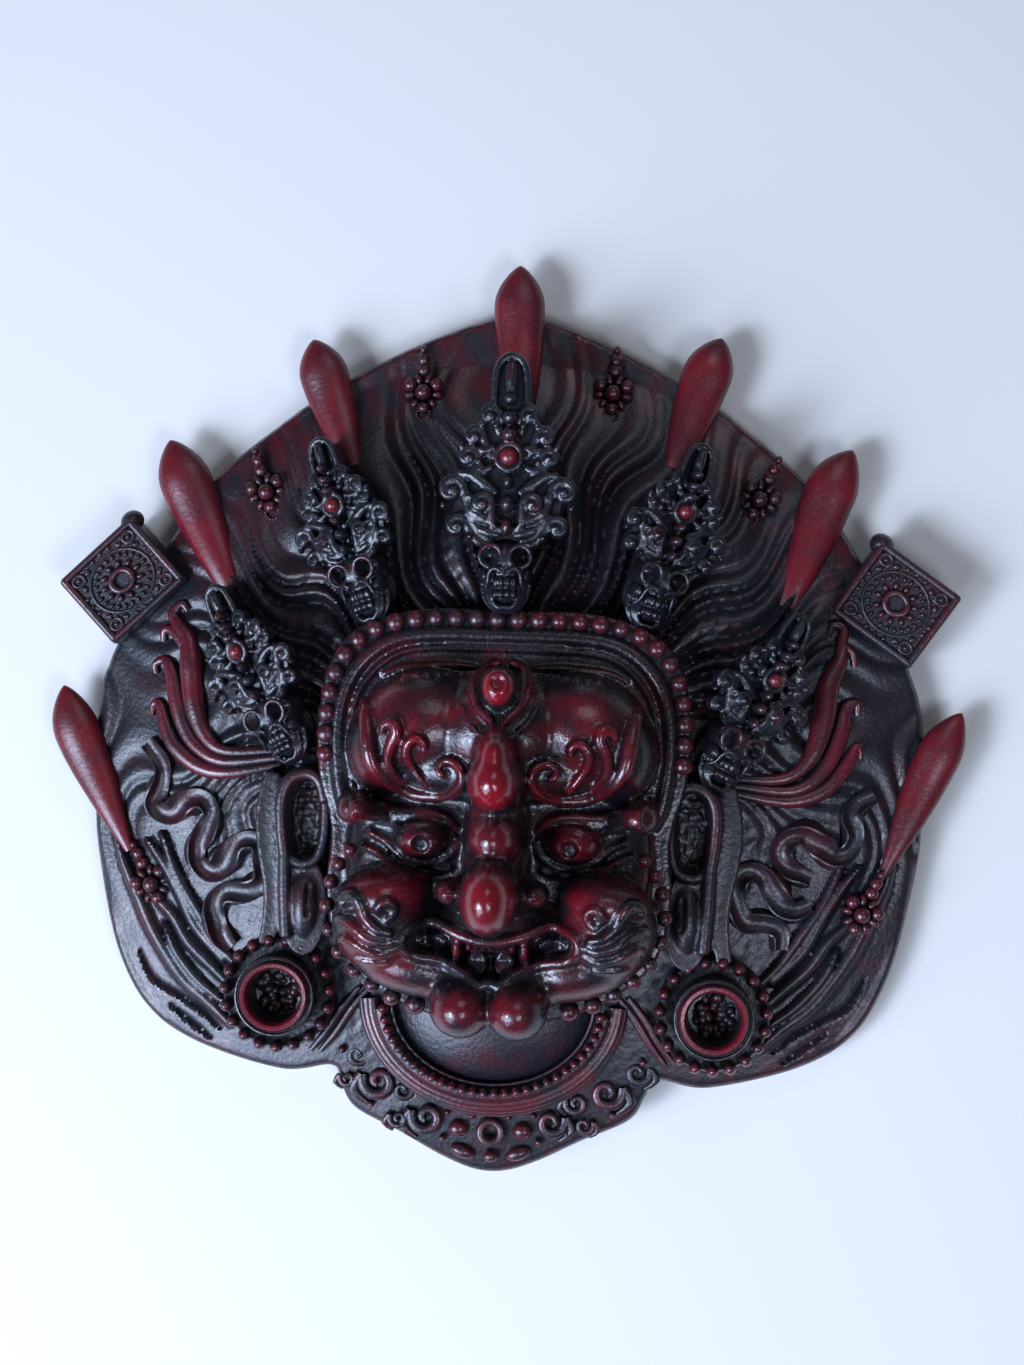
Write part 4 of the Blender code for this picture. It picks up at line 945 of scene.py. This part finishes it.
face_places = places_of(face.data)
nearness = np.zeros(len(face_places))
red = np.zeros(len(face_places))
for place, size, lean, rub in face_lumps():
    angle = math.radians(lean)
    off = face_places - np.array(place)
    across = off[:, 0] * math.cos(angle) + off[:, 1] * math.sin(angle)
    up = off[:, 1] * math.cos(angle) - off[:, 0] * math.sin(angle)
    shell = np.sqrt((across / size[0]) ** 2 + (up / size[1]) ** 2 + (off[:, 2] / size[2]) ** 2)
    weight = np.exp(-(((shell - 1) / 0.07) ** 2)) + 1e-6
    crest = step_between(0.25, 0.85, off[:, 2] / size[2])
    red += weight * rub * crest
    nearness += weight
red = red / nearness
string_points = [(point, rub) for line, rub in painted for point in line]
string_tree = KDTree(len(string_points))
for number, (point, rub) in enumerate(string_points):
    string_tree.insert(Vector(point[:3]), number)
string_tree.balance()
for number, place in enumerate(face_places):
    _, nearest, gap = string_tree.find(place)
    point, rub = string_points[nearest]
    if gap < point[3] + 0.6:
        red[number] = rub
rubbed_zone(face, red)
face.data.transform(Matrix.Translation((face_shift, 0, 0)))
# Rubbed with the thumb until it shines: clear red on round backs, black in the creases
polished = cast_resin("thumb_polished_resin", "#0e1219", "#180f15", "#760f1b", -0.02, 0.21, 0.28)
settle(face, polished, 70)

# Frame and jaw beads
# A string of round beads runs around the frame over the brow, and a looser one under the jaw. They are
# part of the casting; their tops are wiped, so each shows a maroon cap over a black foot.
frame_bead = 2.6
frame_bead_line = [(0, 31.6), (24, 31.2), (40, 27.9), (50.5, 19), (55, 5), (55.4, -15)]
# Middle and radius of each jaw bead, from the cheek down to the chin
jaw_beads = [(44.8, -40.5, 2.2), (48, -45, 2.2), (50.4, -50.4, 2.4), (51.4, -57.6, 2.5), (50.6, -65, 2.3),
             (47.4, -71.6, 2.3), (42.4, -77, 2.5), (36.8, -81.2, 2.5), (30.6, -84.6, 2.9),
             (23.4, -86.6, 3.3)]


def along(line, pitch):
    """Places a pitch apart on a smooth line."""
    points = smooth(line, 12)
    lengths = np.concatenate([[0], np.cumsum(np.hypot(*np.diff(points[:, :2], axis=0).T))])
    count = max(2, int(round(lengths[-1] / pitch)))
    stops = (np.arange(count) + 0.5) * lengths[-1] / count
    return [(float(np.interp(s, lengths, points[:, 0])),
             float(np.interp(s, lengths, points[:, 1]))) for s in stops]


beads = bmesh.new()
draw = np.random.default_rng(21)
for side in SIDES:
    for x, y in along(frame_bead_line, 2.45 * frame_bead):
        size = frame_bead * draw.uniform(0.98, 1.1)
        at = Matrix.Translation((side * x + face_shift + 0.4, y, block_top + 0.6))
        at = at @ Matrix.Diagonal((size, size, 2.3, 1))
        bmesh.ops.create_uvsphere(beads, u_segments=18, v_segments=11, radius=1.06, matrix=at)
    for x, y, size in jaw_beads:
        ball(beads, (side * x + face_shift, y, 51 + 0.2 * size), (size, size, size * 1.1), 0, 16)
# Wiped across the tops only: every bead has a maroon cap over a black foot
bead_resin = cast_resin("wiped_bead_resin", "#0c0f15", "#1d1117", "#5a1622", 0.34, 0.28)
settle(mesh_object("frame_beads", beads), bead_resin)

# Ears and straps
# Long-lobed ears lie flat against the hair beside the face, with a plain strap behind each. The bowl of
# the ear is pressed in and the lobe is slit for the earring that hangs below it.
ear_helix = [(54.0, -27), (56.0, -20.6), (60.0, -18.4), (65.4, -20.6), (67.8, -27), (67.4, -37),
             (66.4, -44), (66.0, -56), (65.0, -70)]
ear_fold = [(54.0, -27), (54.2, -38), (56.4, -45), (61.5, -46.8), (65.5, -44)]
ear_strap = [(71.4, -18.5, 2.4), (73.2, -30, 3.2), (72.4, -42, 3.3), (70.4, -54, 3.0), (70.4, -64, 2.8),
             (72.0, -73, 2.4)]
flat_section = [(-1.0, -0.6), (1.0, -0.6), (1.04, 0.1), (0.96, 0.42), (0.8, 0.5), (0.3, 0.42), (-0.3, 0.42),
                (-0.8, 0.5), (-0.96, 0.42), (-1.04, 0.1)]
# Middle, half sizes and height of the shell and of the lobe
ear_masses = [(60.6, -33, 8, 14.5, 33), (60.0, -60, 7.8, 16.5, 39.4)]
ear_middle_height = 22
ear_bowl = (60.6, -32.4)
ear_slit = (58.4, -58)
ear_grain = 0.62


def ear(side):
    """One ear with its folded edge, pressed bowl and slit lobe, and the strap behind it."""
    bm = bmesh.new()
    for cx, cy, half_x, half_y, top in ear_masses:
        ball(bm, (side * cx, cy, ear_middle_height), (half_x, half_y, top - ear_middle_height), 0, 40)
        post = Matrix.Translation((side * cx, cy, (top - 4 + web_low) / 2))
        post = post @ Matrix.Diagonal((1, half_y / half_x, 1, 1))
        bmesh.ops.create_cone(bm, cap_ends=True, segments=24, radius1=half_x, radius2=half_x * 0.96,
                              depth=top - 4 - web_low, matrix=post)
    lines = []
    for z, thick in ((37.0, 2.0), (33, 2.4), (29, 2.5)):
        lines.append([(side * cx, cy, z, thick) for cx, cy in ear_helix])
    for z, thick in ((36.0, 1.6), (32, 2.0)):
        lines.append([(side * cx, cy, z, thick) for cx, cy in ear_fold])
    made = joined("ear", [mesh_object("ear_mass", bm), tubes("ear_lines", lines, 5)])
    layers = [[(side * cx, cy, z, half) for cx, cy, half in ear_strap] for z in (32.5, 29)]
    strap = tubes("strap", layers, 6, section=flat_section)
    made = fused(joined("ear", [made, strap]), ear_grain, 2)
    places = places_of(made.data)
    x, y, z = places.T
    slit = np.exp(-(((x - side * ear_slit[0]) / 0.8) ** 4) - ((y - ear_slit[1]) / 5.0) ** 6)
    lower = np.where(z > 27, 1.6 * slit, 0)
    bowl = 1 - ((x - side * ear_bowl[0]) / 5.4) ** 2 - ((y - ear_bowl[1]) / 12) ** 2
    bowl = np.clip(bowl, 0, 1)
    rough = 0.35 * wander(x, y, 2.6, 13) * (bowl > 0)
    lower += np.where(z > 27, 4.0 * np.sqrt(bowl) + rough, 0)
    places[:, 2] = z - lower
    set_places(made.data, places)
    rubbed_zone(made, 0.2 * step_between(36.5, 39, z) * (y > -48) + 0.03)
    return made


settle(joined("ears_and_straps", [ear(side) for side in SIDES]), black_washed, 70)

# Cup earrings
# Each earring is a deep cup with a stepped red rim, circled by small round beads. Cups and beads are
# cast with the mask; the bottom of the cup is rough and black, where the wash ran together.
earring_middles = [(-67.8, -88.2), (69.1, -89.7)]
earring_beads = 19
# Radius and height, from the outer foot over the stepped rim and down to the bottom of the cup
earring_profile = [(12.6, 12), (12.6, 38.6), (12.3, 39.4), (11.9, 39.5), (11.6, 38.7), (11.2, 38.6),
                   (10.9, 39.8), (10.2, 40.7), (9.2, 40.6), (8.5, 39.6), (8.2, 38.0), (7.6, 26),
                   (0.01, 24.0)]
cup_foot_profile = [(18.2, 20), (18.0, 28.2), (17.2, 29.6), (15.4, 29.0), (12.0, 29.6), (0.01, 23.6)]


def turned(name, profile, sides, place, low):
    """A closed turned piece: the profile runs from the outer foot up and in to the axis."""
    bm = bmesh.new()
    rings = []
    for radius, height in [(profile[0][0], low)] + profile:
        ring = []
        for number in range(sides):
            turn = math.tau * number / sides
            ring.append(bm.verts.new((place[0] + radius * math.cos(turn),
                                      place[1] + radius * math.sin(turn), height)))
        rings.append(ring)
    for lower, upper in zip(rings, rings[1:]):
        for number in range(sides):
            beside = (number + 1) % sides
            bm.faces.new((lower[number], lower[beside], upper[beside], upper[number]))
    bm.faces.new(rings[-1])
    bm.faces.new(list(reversed(rings[0])))
    bmesh.ops.recalc_face_normals(bm, faces=bm.faces)
    return mesh_object(name, bm)


cups = []
cup_beads = bmesh.new()
draw = np.random.default_rng(5)
for middle in earring_middles:
    cups.append(turned("cup", earring_profile, 72, middle, web_low))
    cups.append(turned("cup_foot", cup_foot_profile, 64, middle, web_low))
    clots = bmesh.new()
    for _ in range(60):
        turn = draw.uniform(0, math.tau)
        away = 7.0 * math.sqrt(draw.uniform(0, 1))
        size = draw.uniform(1.3, 2.6)
        spot = (middle[0] + away * math.cos(turn), middle[1] + away * math.sin(turn),
                24.6 + 0.5 * away * draw.uniform(0, 1))
        ball(clots, spot, (size, size, size), 0, 8)
    cups.append(mesh_object("clots", clots))
    for number in range(earring_beads):
        turn = math.tau * (number + 0.3) / earring_beads
        along_rim = (middle[0] + 16.6 * math.cos(turn), middle[1] + 16.8 * math.sin(turn), 32.0)
        ball(cup_beads, along_rim, (2.15, 2.05, 3.6), turn, 16)
earrings = joined("cup_earrings", cups)
x, y, z = places_of(earrings.data).T
reach = np.minimum(*[np.hypot(x - cx, y - cy) for cx, cy in earring_middles])
rubbed_zone(earrings, np.where((reach > 7.9) & (reach < 11.1) & (z > 38), 0.62, -0.3))
# Wiped along rims and strands: dull maroon on the high lines, black where the wash ran together
cup_red = cast_resin("wiped_cup_resin", "#0c0f15", "#181016", "#621220", 0.1, 0.3)
settle(earrings, cup_red, 40)
settle(mesh_object("earring_beads", cup_beads), bead_resin)

# Scarf strands, ribbons and rosettes on the fan
# Three strands of a flame-edged scarf stream from each ear to the plaque above, and a wavy ribbon with
# rolled edges falls below it. Small three-bead rosettes are set between the flames.
left_strands = [
    [(-70, -16.4, 1.0), (-86.5, -19.6, 1.7), (-96.8, -18.4, 2.2), (-105.3, -12.4, 2.3), (-109, -6, 2.0),
     (-111.5, 1, 1.5), (-113.6, 1.4, 1.0), (-114.4, -2.4, 0.8)],
    [(-70.7, -14.2, 1.0), (-88.2, -16.2, 1.5), (-97, -12.8, 1.9), (-102.6, -6.4, 2.2), (-106, 3.6, 2.4),
     (-107.8, 11.2, 2.0), (-110.4, 15.6, 1.4), (-113.9, 14.2, 1.0), (-113.4, 11.2, 0.8)],
    [(-71.4, -12.0, 1.0), (-88.2, -12.8, 1.5), (-95.6, -8, 2.2), (-99.6, 1.5, 3.0), (-101.2, 12.8, 3.3),
     (-102.6, 21.6, 2.5), (-106.8, 27.4, 1.8), (-108.6, 31.0, 1.4), (-105.8, 34.0, 1.1),
     (-103.8, 31.8, 0.8)],
    [(-103.8, 19.6, 1.4), (-107.4, 24.6, 1.5), (-111, 25.4, 1.2), (-111.6, 21.6, 0.8)],
]
right_strands = [
    [(71.7, -15.8, 1.0), (88.6, -15.4, 1.6), (97, -8.8, 2.3), (100.8, 2.6, 3.1), (102.2, 14, 3.1),
     (105.6, 21.4, 2.2), (107.4, 26.4, 1.4), (110, 24.6, 1.1), (110.8, 20.4, 0.8)],
    [(72, -18.0, 1.0), (91.6, -19.1, 1.6), (101.4, -12.5, 2.2), (106.4, -1.6, 2.4), (108, 7, 1.9),
     (111.8, 9, 1.3), (112, 5.2, 0.8)],
    [(72.1, -20.2, 1.0), (90.3, -22.6, 1.7), (102.2, -18.6, 2.2), (108.8, -10.6, 2.0), (112, -4.6, 1.4),
     (113.4, -8.2, 0.8)],
    [(103.6, 16.6, 1.4), (107, 31.6, 1.4), (103.6, 33.8, 1.0), (102.2, 30.8, 0.8)],
]
left_ribbon = [(-115.2, -11.1, 2.0), (-110.4, -16.0, 2.3), (-109.4, -21, 2.0), (-111.2, -27.4, 2.8),
               (-111.4, -31.6, 2.5), (-106.6, -33.2, 2.9), (-101.4, -30, 3.3), (-95.6, -28.8, 2.6),
               (-92, -32.8, 2.2), (-93.4, -38.4, 2.9), (-97, -43.4, 2.6), (-96.6, -48.8, 2.4),
               (-91.6, -51, 2.9), (-87.2, -47, 3.4), (-82.4, -41.8, 2.6), (-76.8, -41, 2.3),
               (-73.8, -46, 3.0), (-74.8, -53.4, 2.7), (-80.6, -57.2, 2.9), (-87.6, -58.8, 2.5),
               (-90.8, -63.6, 2.8), (-89.6, -70.4, 2.9), (-84.7, -75.6, 2.2)]
right_ribbons = [
    [(118.1, -19.6, 1.9), (113, -23.5, 2.2), (111, -27, 2.6), (112, -32.8, 2.6), (110.2, -38.2, 2.2),
     (106, -39.8, 2.6), (101.4, -36, 3.3), (96.4, -32.4, 2.7), (91, -34.4, 2.3), (89.4, -39.4, 2.8),
     (92.6, -44.2, 2.6), (98.7, -47.1, 1.9)],
    [(98.6, -54.9, 1.8), (94.1, -57.3, 2.3), (90, -55.2, 3.0), (87.4, -50.2, 3.2), (83.6, -46, 2.5),
     (78.8, -45.2, 2.4), (75, -49, 3.0), (74.8, -55.4, 2.7), (78.6, -60.4, 2.7), (84.8, -60.6, 2.4),
     (89.4, -63.4, 2.4), (89.8, -69.4, 2.0)],
]
# A shallow trough with one high pale lip: each fold of a ribbon leans the other way
ribbon_section = [(-1.0, -1.0), (1.0, -1.0), (1.06, 0.2), (1.0, 0.5), (0.84, 0.56), (0.68, 0.34),
                  (0.42, 0.04), (0.0, -0.08), (-0.45, 0.0), (-0.74, 0.2), (-0.88, 0.32), (-1.0, 0.26),
                  (-1.06, 0.0)]
ribbon_lean = 24.0
ribbon_fold = 11.0
# Middle of each rosette, the way its drops point, and whether a little cup hangs on its inner side
rosette_places = [
    (-29.8, 104.6, 92.0, True), (31.2, 106.0, 86.0, True), (-79.6, 71.0, 108.0, True),
    (79.0, 73.0, 66.0, True),
    (-112.7, -56.9, 118.0, False), (115.4, -57.6, 66.0, False),
]


def fan_spot(x, y):
    """Height of the hair at one place."""
    return float(fan_height(np.array([float(x)]), np.array([float(y)]))[0])


def on_fan(line, proud=0.5):
    """Lay a flat line of x, y and half width on the fan, after stepping it finely."""
    stepped = smooth(line, 5)
    swell = [fan_spot(x, y) for x, y, _ in stepped]
    even = np.convolve(np.pad(swell, 5, mode="edge"), np.ones(11) / 11, mode="valid")
    return [(x, y, top + proud, half_width) for (x, y, half_width), top in zip(stepped, even)]


streams = []
for line in left_strands + right_strands:
    streams.append([(x, y, z, 1.2 * half) for x, y, z, half in on_fan(line, 1.2)])
scarf = tubes("scarf_strands", streams, 1, 14, 0.8)
x, y, z = places_of(scarf.data).T
rubbed_zone(scarf, 0.42 * step_between(70, 95, np.abs(x)))
settle(scarf, cup_red)
ribbons = []
for line in [left_ribbon] + right_ribbons:
    laid = on_fan(line, 2.0)
    steps = np.hypot(*np.diff([point[:2] for point in laid], axis=0).T)
    reaches = np.concatenate([[0], np.cumsum(steps)])
    ribbons.append([(x, y, z, 1.3 * half, ribbon_lean * math.sin(math.pi * reach / ribbon_fold))
                    for (x, y, z, half), reach in zip(laid, reaches)])
ribbon_piece = tubes("ribbons", ribbons, 1, section=ribbon_section)
rubbed_zone(ribbon_piece, np.full(len(ribbon_piece.data.vertices), 0.12))
settle(ribbon_piece, black_washed, 50)
rosettes = bmesh.new()
for x, y, outward, cupped in rosette_places:
    height = fan_spot(x, y)
    tip = math.radians(outward)
    ball(rosettes, (x, y, height + 2.8), (2.7, 2.7, 2.8), 0, 20)
    for number in range(3):
        turn = tip + math.pi + math.tau * number / 3
        ball(rosettes, (x + 4.9 * math.cos(turn), y + 4.9 * math.sin(turn), height + 1.8), (2.3, 2.3, 2.4),
             0, 16)
        for lean in (-0.36, 0.36):
            petal = turn + math.pi / 3 + lean
            spot = (x + 4.4 * math.cos(petal), y + 4.4 * math.sin(petal), height + 1.0)
            ball(rosettes, spot, (2.2, 1.35, 2.0), petal, 12)
    for away, half, across in ((7.4, 2.2, 2.2), (10.8, 2.3, 1.9), (14.0, 1.5, 1.2)):
        spot = (x + away * math.cos(tip), y + away * math.sin(tip), height + 1.2 - 0.05 * away)
        ball(rosettes, spot, (half, across, 1.9), tip, 14)
    if cupped:
        cup_x = x - 7.0 * math.cos(tip)
        cup_y = y - 7.0 * math.sin(tip)
        for number in range(14):
            turn = math.tau * number / 14
            spot = (cup_x + 2.2 * math.cos(turn), cup_y + 2.2 * math.sin(turn), height + 1.4)
            ball(rosettes, spot, (0.8, 0.8, 1.5), 0, 8)
settle(mesh_object("bead_rosettes", rosettes), bead_resin)
settle(mesh_object("cabochons", cabochons), flame_red)

# Neck and collar
# A smooth bulge of throat shows under the chin. A string of small beads, a plain wiped band and a
# border of scrolls with a ringed medallion close the collar along the bottom edge.
collar_middle = (0, -88)
collar_bead = 1.7
neck_low = 8.0
border_top = 19.6
# Middle, radius and hand of each scroll
border_scrolls = [(-20.4, -127.4, 7.0, 1.0), (-36.2, -116.6, 7.4, 1.0), (-28.4, -119.4, 4.0, -1.0),
                  (-43.4, -108.6, 4.6, -1.0), (-29.5, -128.4, 4.0, 1.0), (19.4, -127.4, 6.0, -1.0),
                  (27.2, -121.0, 4.8, 1.0), (36.8, -117.2, 6.8, -1.0), (46.4, -110.4, 5.2, -1.0),
                  (30.0, -128.0, 3.8, -1.0), (-46.4, -116.4, 3.4, 1.0)]
border_pearls = [(15.4, -134.4, 1.3), (5.8, -126.4, 1.2), (24.4, -131.2, 1.2), (32.0, -112.6, 1.2),
                 (48, -106.8, 1.4), (13.8, -125.6, 1.1), (38.6, -124.4, 1.2), (20.6, -119.4, 1.2)]
# Half width and half height, height over the back and thickness of each ring of the collar
collar_rings = [(32.0, 26.5, 30.0, 0.5), (38.4, 32.8, 27.0, 2.1), (39.8, 34.2, 26.9, 2.1),
                (41.2, 35.6, 26.2, 1.7), (39.4, 33.8, 24, 3.2)]
neck_ball = bmesh.new()
ball(neck_ball, (collar_middle[0], collar_middle[1], 16), (36.5, 31, 21), 0, 72)
cut = bmesh.ops.bisect_plane(neck_ball, geom=neck_ball.verts[:] + neck_ball.edges[:] + neck_ball.faces[:],
                             plane_co=(0, 0, neck_low), plane_no=(0, 0, -1), clear_outer=True)
opening = [item for item in cut["geom_cut"] if isinstance(item, bmesh.types.BMEdge)]
bmesh.ops.holes_fill(neck_ball, edges=opening, sides=0)
neck = mesh_object("neck", neck_ball)
x, y, z = places_of(neck.data).T
rubbed_zone(neck, 0.55 * np.exp(-((x - 1) / 13) ** 2 - ((y + 107) / 6) ** 2) - 0.1)
settle(neck, black_washed, 60)
collar_beads = bmesh.new()
arc_turns = np.radians(np.linspace(-4, -176, 11))
arc = [(34.8 * math.cos(a), collar_middle[1] + 29 * math.sin(a)) for a in arc_turns]
for x, y in along(arc, 3.5):
    turn = math.atan2(y - collar_middle[1], x)
    ball(collar_beads, (x, y, 31.2), (collar_bead, collar_bead * 0.95, 2.4), turn, 12)
settle(mesh_object("collar_beads", collar_beads), bead_resin)
bands = []
for radius_x, radius_y, z, thick in collar_rings:
    turns = np.radians(np.linspace(-2, -178, 41))
    bands.append([(radius_x * math.cos(a), collar_middle[1] + radius_y * math.sin(a), z, thick)
                  for a in turns])
turns = np.radians(np.linspace(-8, -172, 31))
bands.append([(35.4 * math.cos(a), collar_middle[1] + 29.8 * math.sin(a), 27.2, 3.0) for a in turns])
for x, y, radius, hand in border_scrolls:
    start = math.pi * (0.9 if hand > 0 else 0.1)
    bands.append(curl(x, y, border_top, radius, hand, start, 1.25, 1.8))
    tail = [(x + 0.78 * radius * math.cos(start), y + 0.78 * radius * math.sin(start), border_top,
             0.3 * radius)]
    tail.append((tail[0][0] - 0.4 * radius * hand, tail[0][1] - 0.7 * radius, border_top - 0.4,
                 0.26 * radius))
    tail.append((tail[0][0] + 0.3 * radius * hand, tail[0][1] - 1.3 * radius, border_top - 1.0,
                 0.12 * radius))
    bands.append(tail)
for side in SIDES:
    for off in (0, 3.2):
        strap = [(39.5 + off, -86, 0.9), (45 + off, -93, 1.4), (50 + off, -101, 1.4),
                 (55 + off, -107.5, 0.9)]
        bands.append(on_fan(strap if side > 0 else mirrored(strap), 1.6))
bands.append(ring_line(0.2, -131.6, border_top + 0.4, 3.4, 3.4, 1.5))
collar_bands = tubes("collar_bands", bands, 2, 12, 0.9)
x, y, z = places_of(collar_bands.data).T
top_band = np.abs(np.hypot(x / 39, (y - collar_middle[1]) / 33.4) - 1) < 0.04
rubbed_zone(collar_bands, np.where(top_band & (z > 27), 0.3, 0.12))
settle(collar_bands, cup_red)
drops = bmesh.new()
for side in SIDES:
    ball(drops, (side * 10.3, -130.8, border_top - 0.4), (3.3, 2.7, 2.6), 0, 20)
    ball(drops, (side * 9.0, -138.6, border_top - 3.4), (4.4, 2.5, 2.8), side * 0.35, 20)
    for x, y, size in border_pearls:
        ball(drops, (side * x, y, fan_spot(x, y) + 1.2), (size, size, 1.8), 0, 10)
ball(drops, (0.2, -139.8, border_top - 3.0), (2.6, 2.2, 2.8), 0, 16)
settle(mesh_object("border_drops", drops), bead_resin)

# Floor, lights and camera
# The mask lies on its back on a plain pale floor under soft window light from its lower left, and the
# camera looks down on it from a little to the right. Sizes and places are in metres from here on.
floor_half = 3.0
pale_within = 0.24
dim_beyond = 0.8
floor_mesh = bmesh.new()
bmesh.ops.create_grid(floor_mesh, x_segments=1, y_segments=1, size=floor_half)
floor = mesh_object("floor", floor_mesh)
# Matt paper with a painted falloff of light: a little darker far from the mask, so that the gloss has
# something dim to mirror
paper = bpy.data.materials.new("pale_paper")
paper.use_nodes = True
middle_gap = node(paper.node_tree, "ShaderNodeVectorMath", None,
                  {0: node(paper.node_tree, "ShaderNodeTexCoord").outputs["Object"]}, operation="LENGTH")
painted_light_falloff = node(paper.node_tree, "ShaderNodeMapRange", {"From Min": pale_within, "From Max": dim_beyond},
               {"Value": middle_gap.outputs["Value"]}, interpolation_type="SMOOTHSTEP")
paper_tone_with_painted_falloff = node(paper.node_tree, "ShaderNodeMix", {6: linear("#d2cfca"), 7: linear("#8b8a86")},
                  {0: painted_light_falloff.outputs[0]}, data_type="RGBA")
paper_shader = paper.node_tree.nodes["Principled BSDF"]
paper.node_tree.links.new(paper_tone_with_painted_falloff.outputs[2], paper_shader.inputs["Base Color"])
paper_shader.inputs["Roughness"].default_value = 0.9
floor.data.materials.append(paper)


def area_light(name, place, target, size, power, colour):
    """A soft window that faces the target."""
    light = bpy.data.lights.new(name, "AREA")
    light.shape = "RECTANGLE"
    light.size, light.size_y = size
    light.energy = power
    light.color = linear(colour)[:3]
    thing = bpy.data.objects.new(name, light)
    bpy.context.scene.collection.objects.link(thing)
    thing.location = place
    thing.rotation_euler = (Vector(target) - Vector(place)).to_track_quat("-Z", "Y").to_euler()
    return thing


area_light("window", (-0.72, -0.42, 0.95), (0, 0, 0.04), (0.26, 0.4), 11, "#d8e6ff")
area_light("wide_window", (-0.78, -0.62, 0.86), (0, 0, 0.04), (1.0, 0.9), 26, "#c8dbff")
area_light("second_pane", (0.42, -0.4, 1.05), (0, 0, 0.04), (0.3, 0.34), 5, "#dbe6ff")
area_light("room", (0.3, 0.9, 1.0), (0, 0, 0.03), (0.6, 0.6), 2.0, "#e6ecff")
world = bpy.data.worlds.new("room")
world.use_nodes = True
world.node_tree.nodes["Background"].inputs["Color"].default_value = linear("#dfe8f5")
world.node_tree.nodes["Background"].inputs["Strength"].default_value = 0.12
bpy.context.scene.world = world

camera_place = Vector((0.0416, 0.0121, 0.6638))
camera_target = Vector((0.0019, 0.0121, 0.015))
camera_up = Vector((-0.0336, 0.9994, 0))
camera_data = bpy.data.cameras.new("camera")
camera_data.sensor_fit = "AUTO"
camera_data.sensor_width = 36
camera_data.lens = 53.3
camera = bpy.data.objects.new("camera", camera_data)
bpy.context.scene.collection.objects.link(camera)
look = (camera_target - camera_place).normalized()
right = look.cross(camera_up).normalized()
upright = right.cross(look)
camera.matrix_world = Matrix((
    (right.x, upright.x, -look.x, camera_place.x),
    (right.y, upright.y, -look.y, camera_place.y),
    (right.z, upright.z, -look.z, camera_place.z),
    (0, 0, 0, 1),
))
bpy.context.scene.camera = camera
bpy.context.scene.view_settings.view_transform = "Standard"
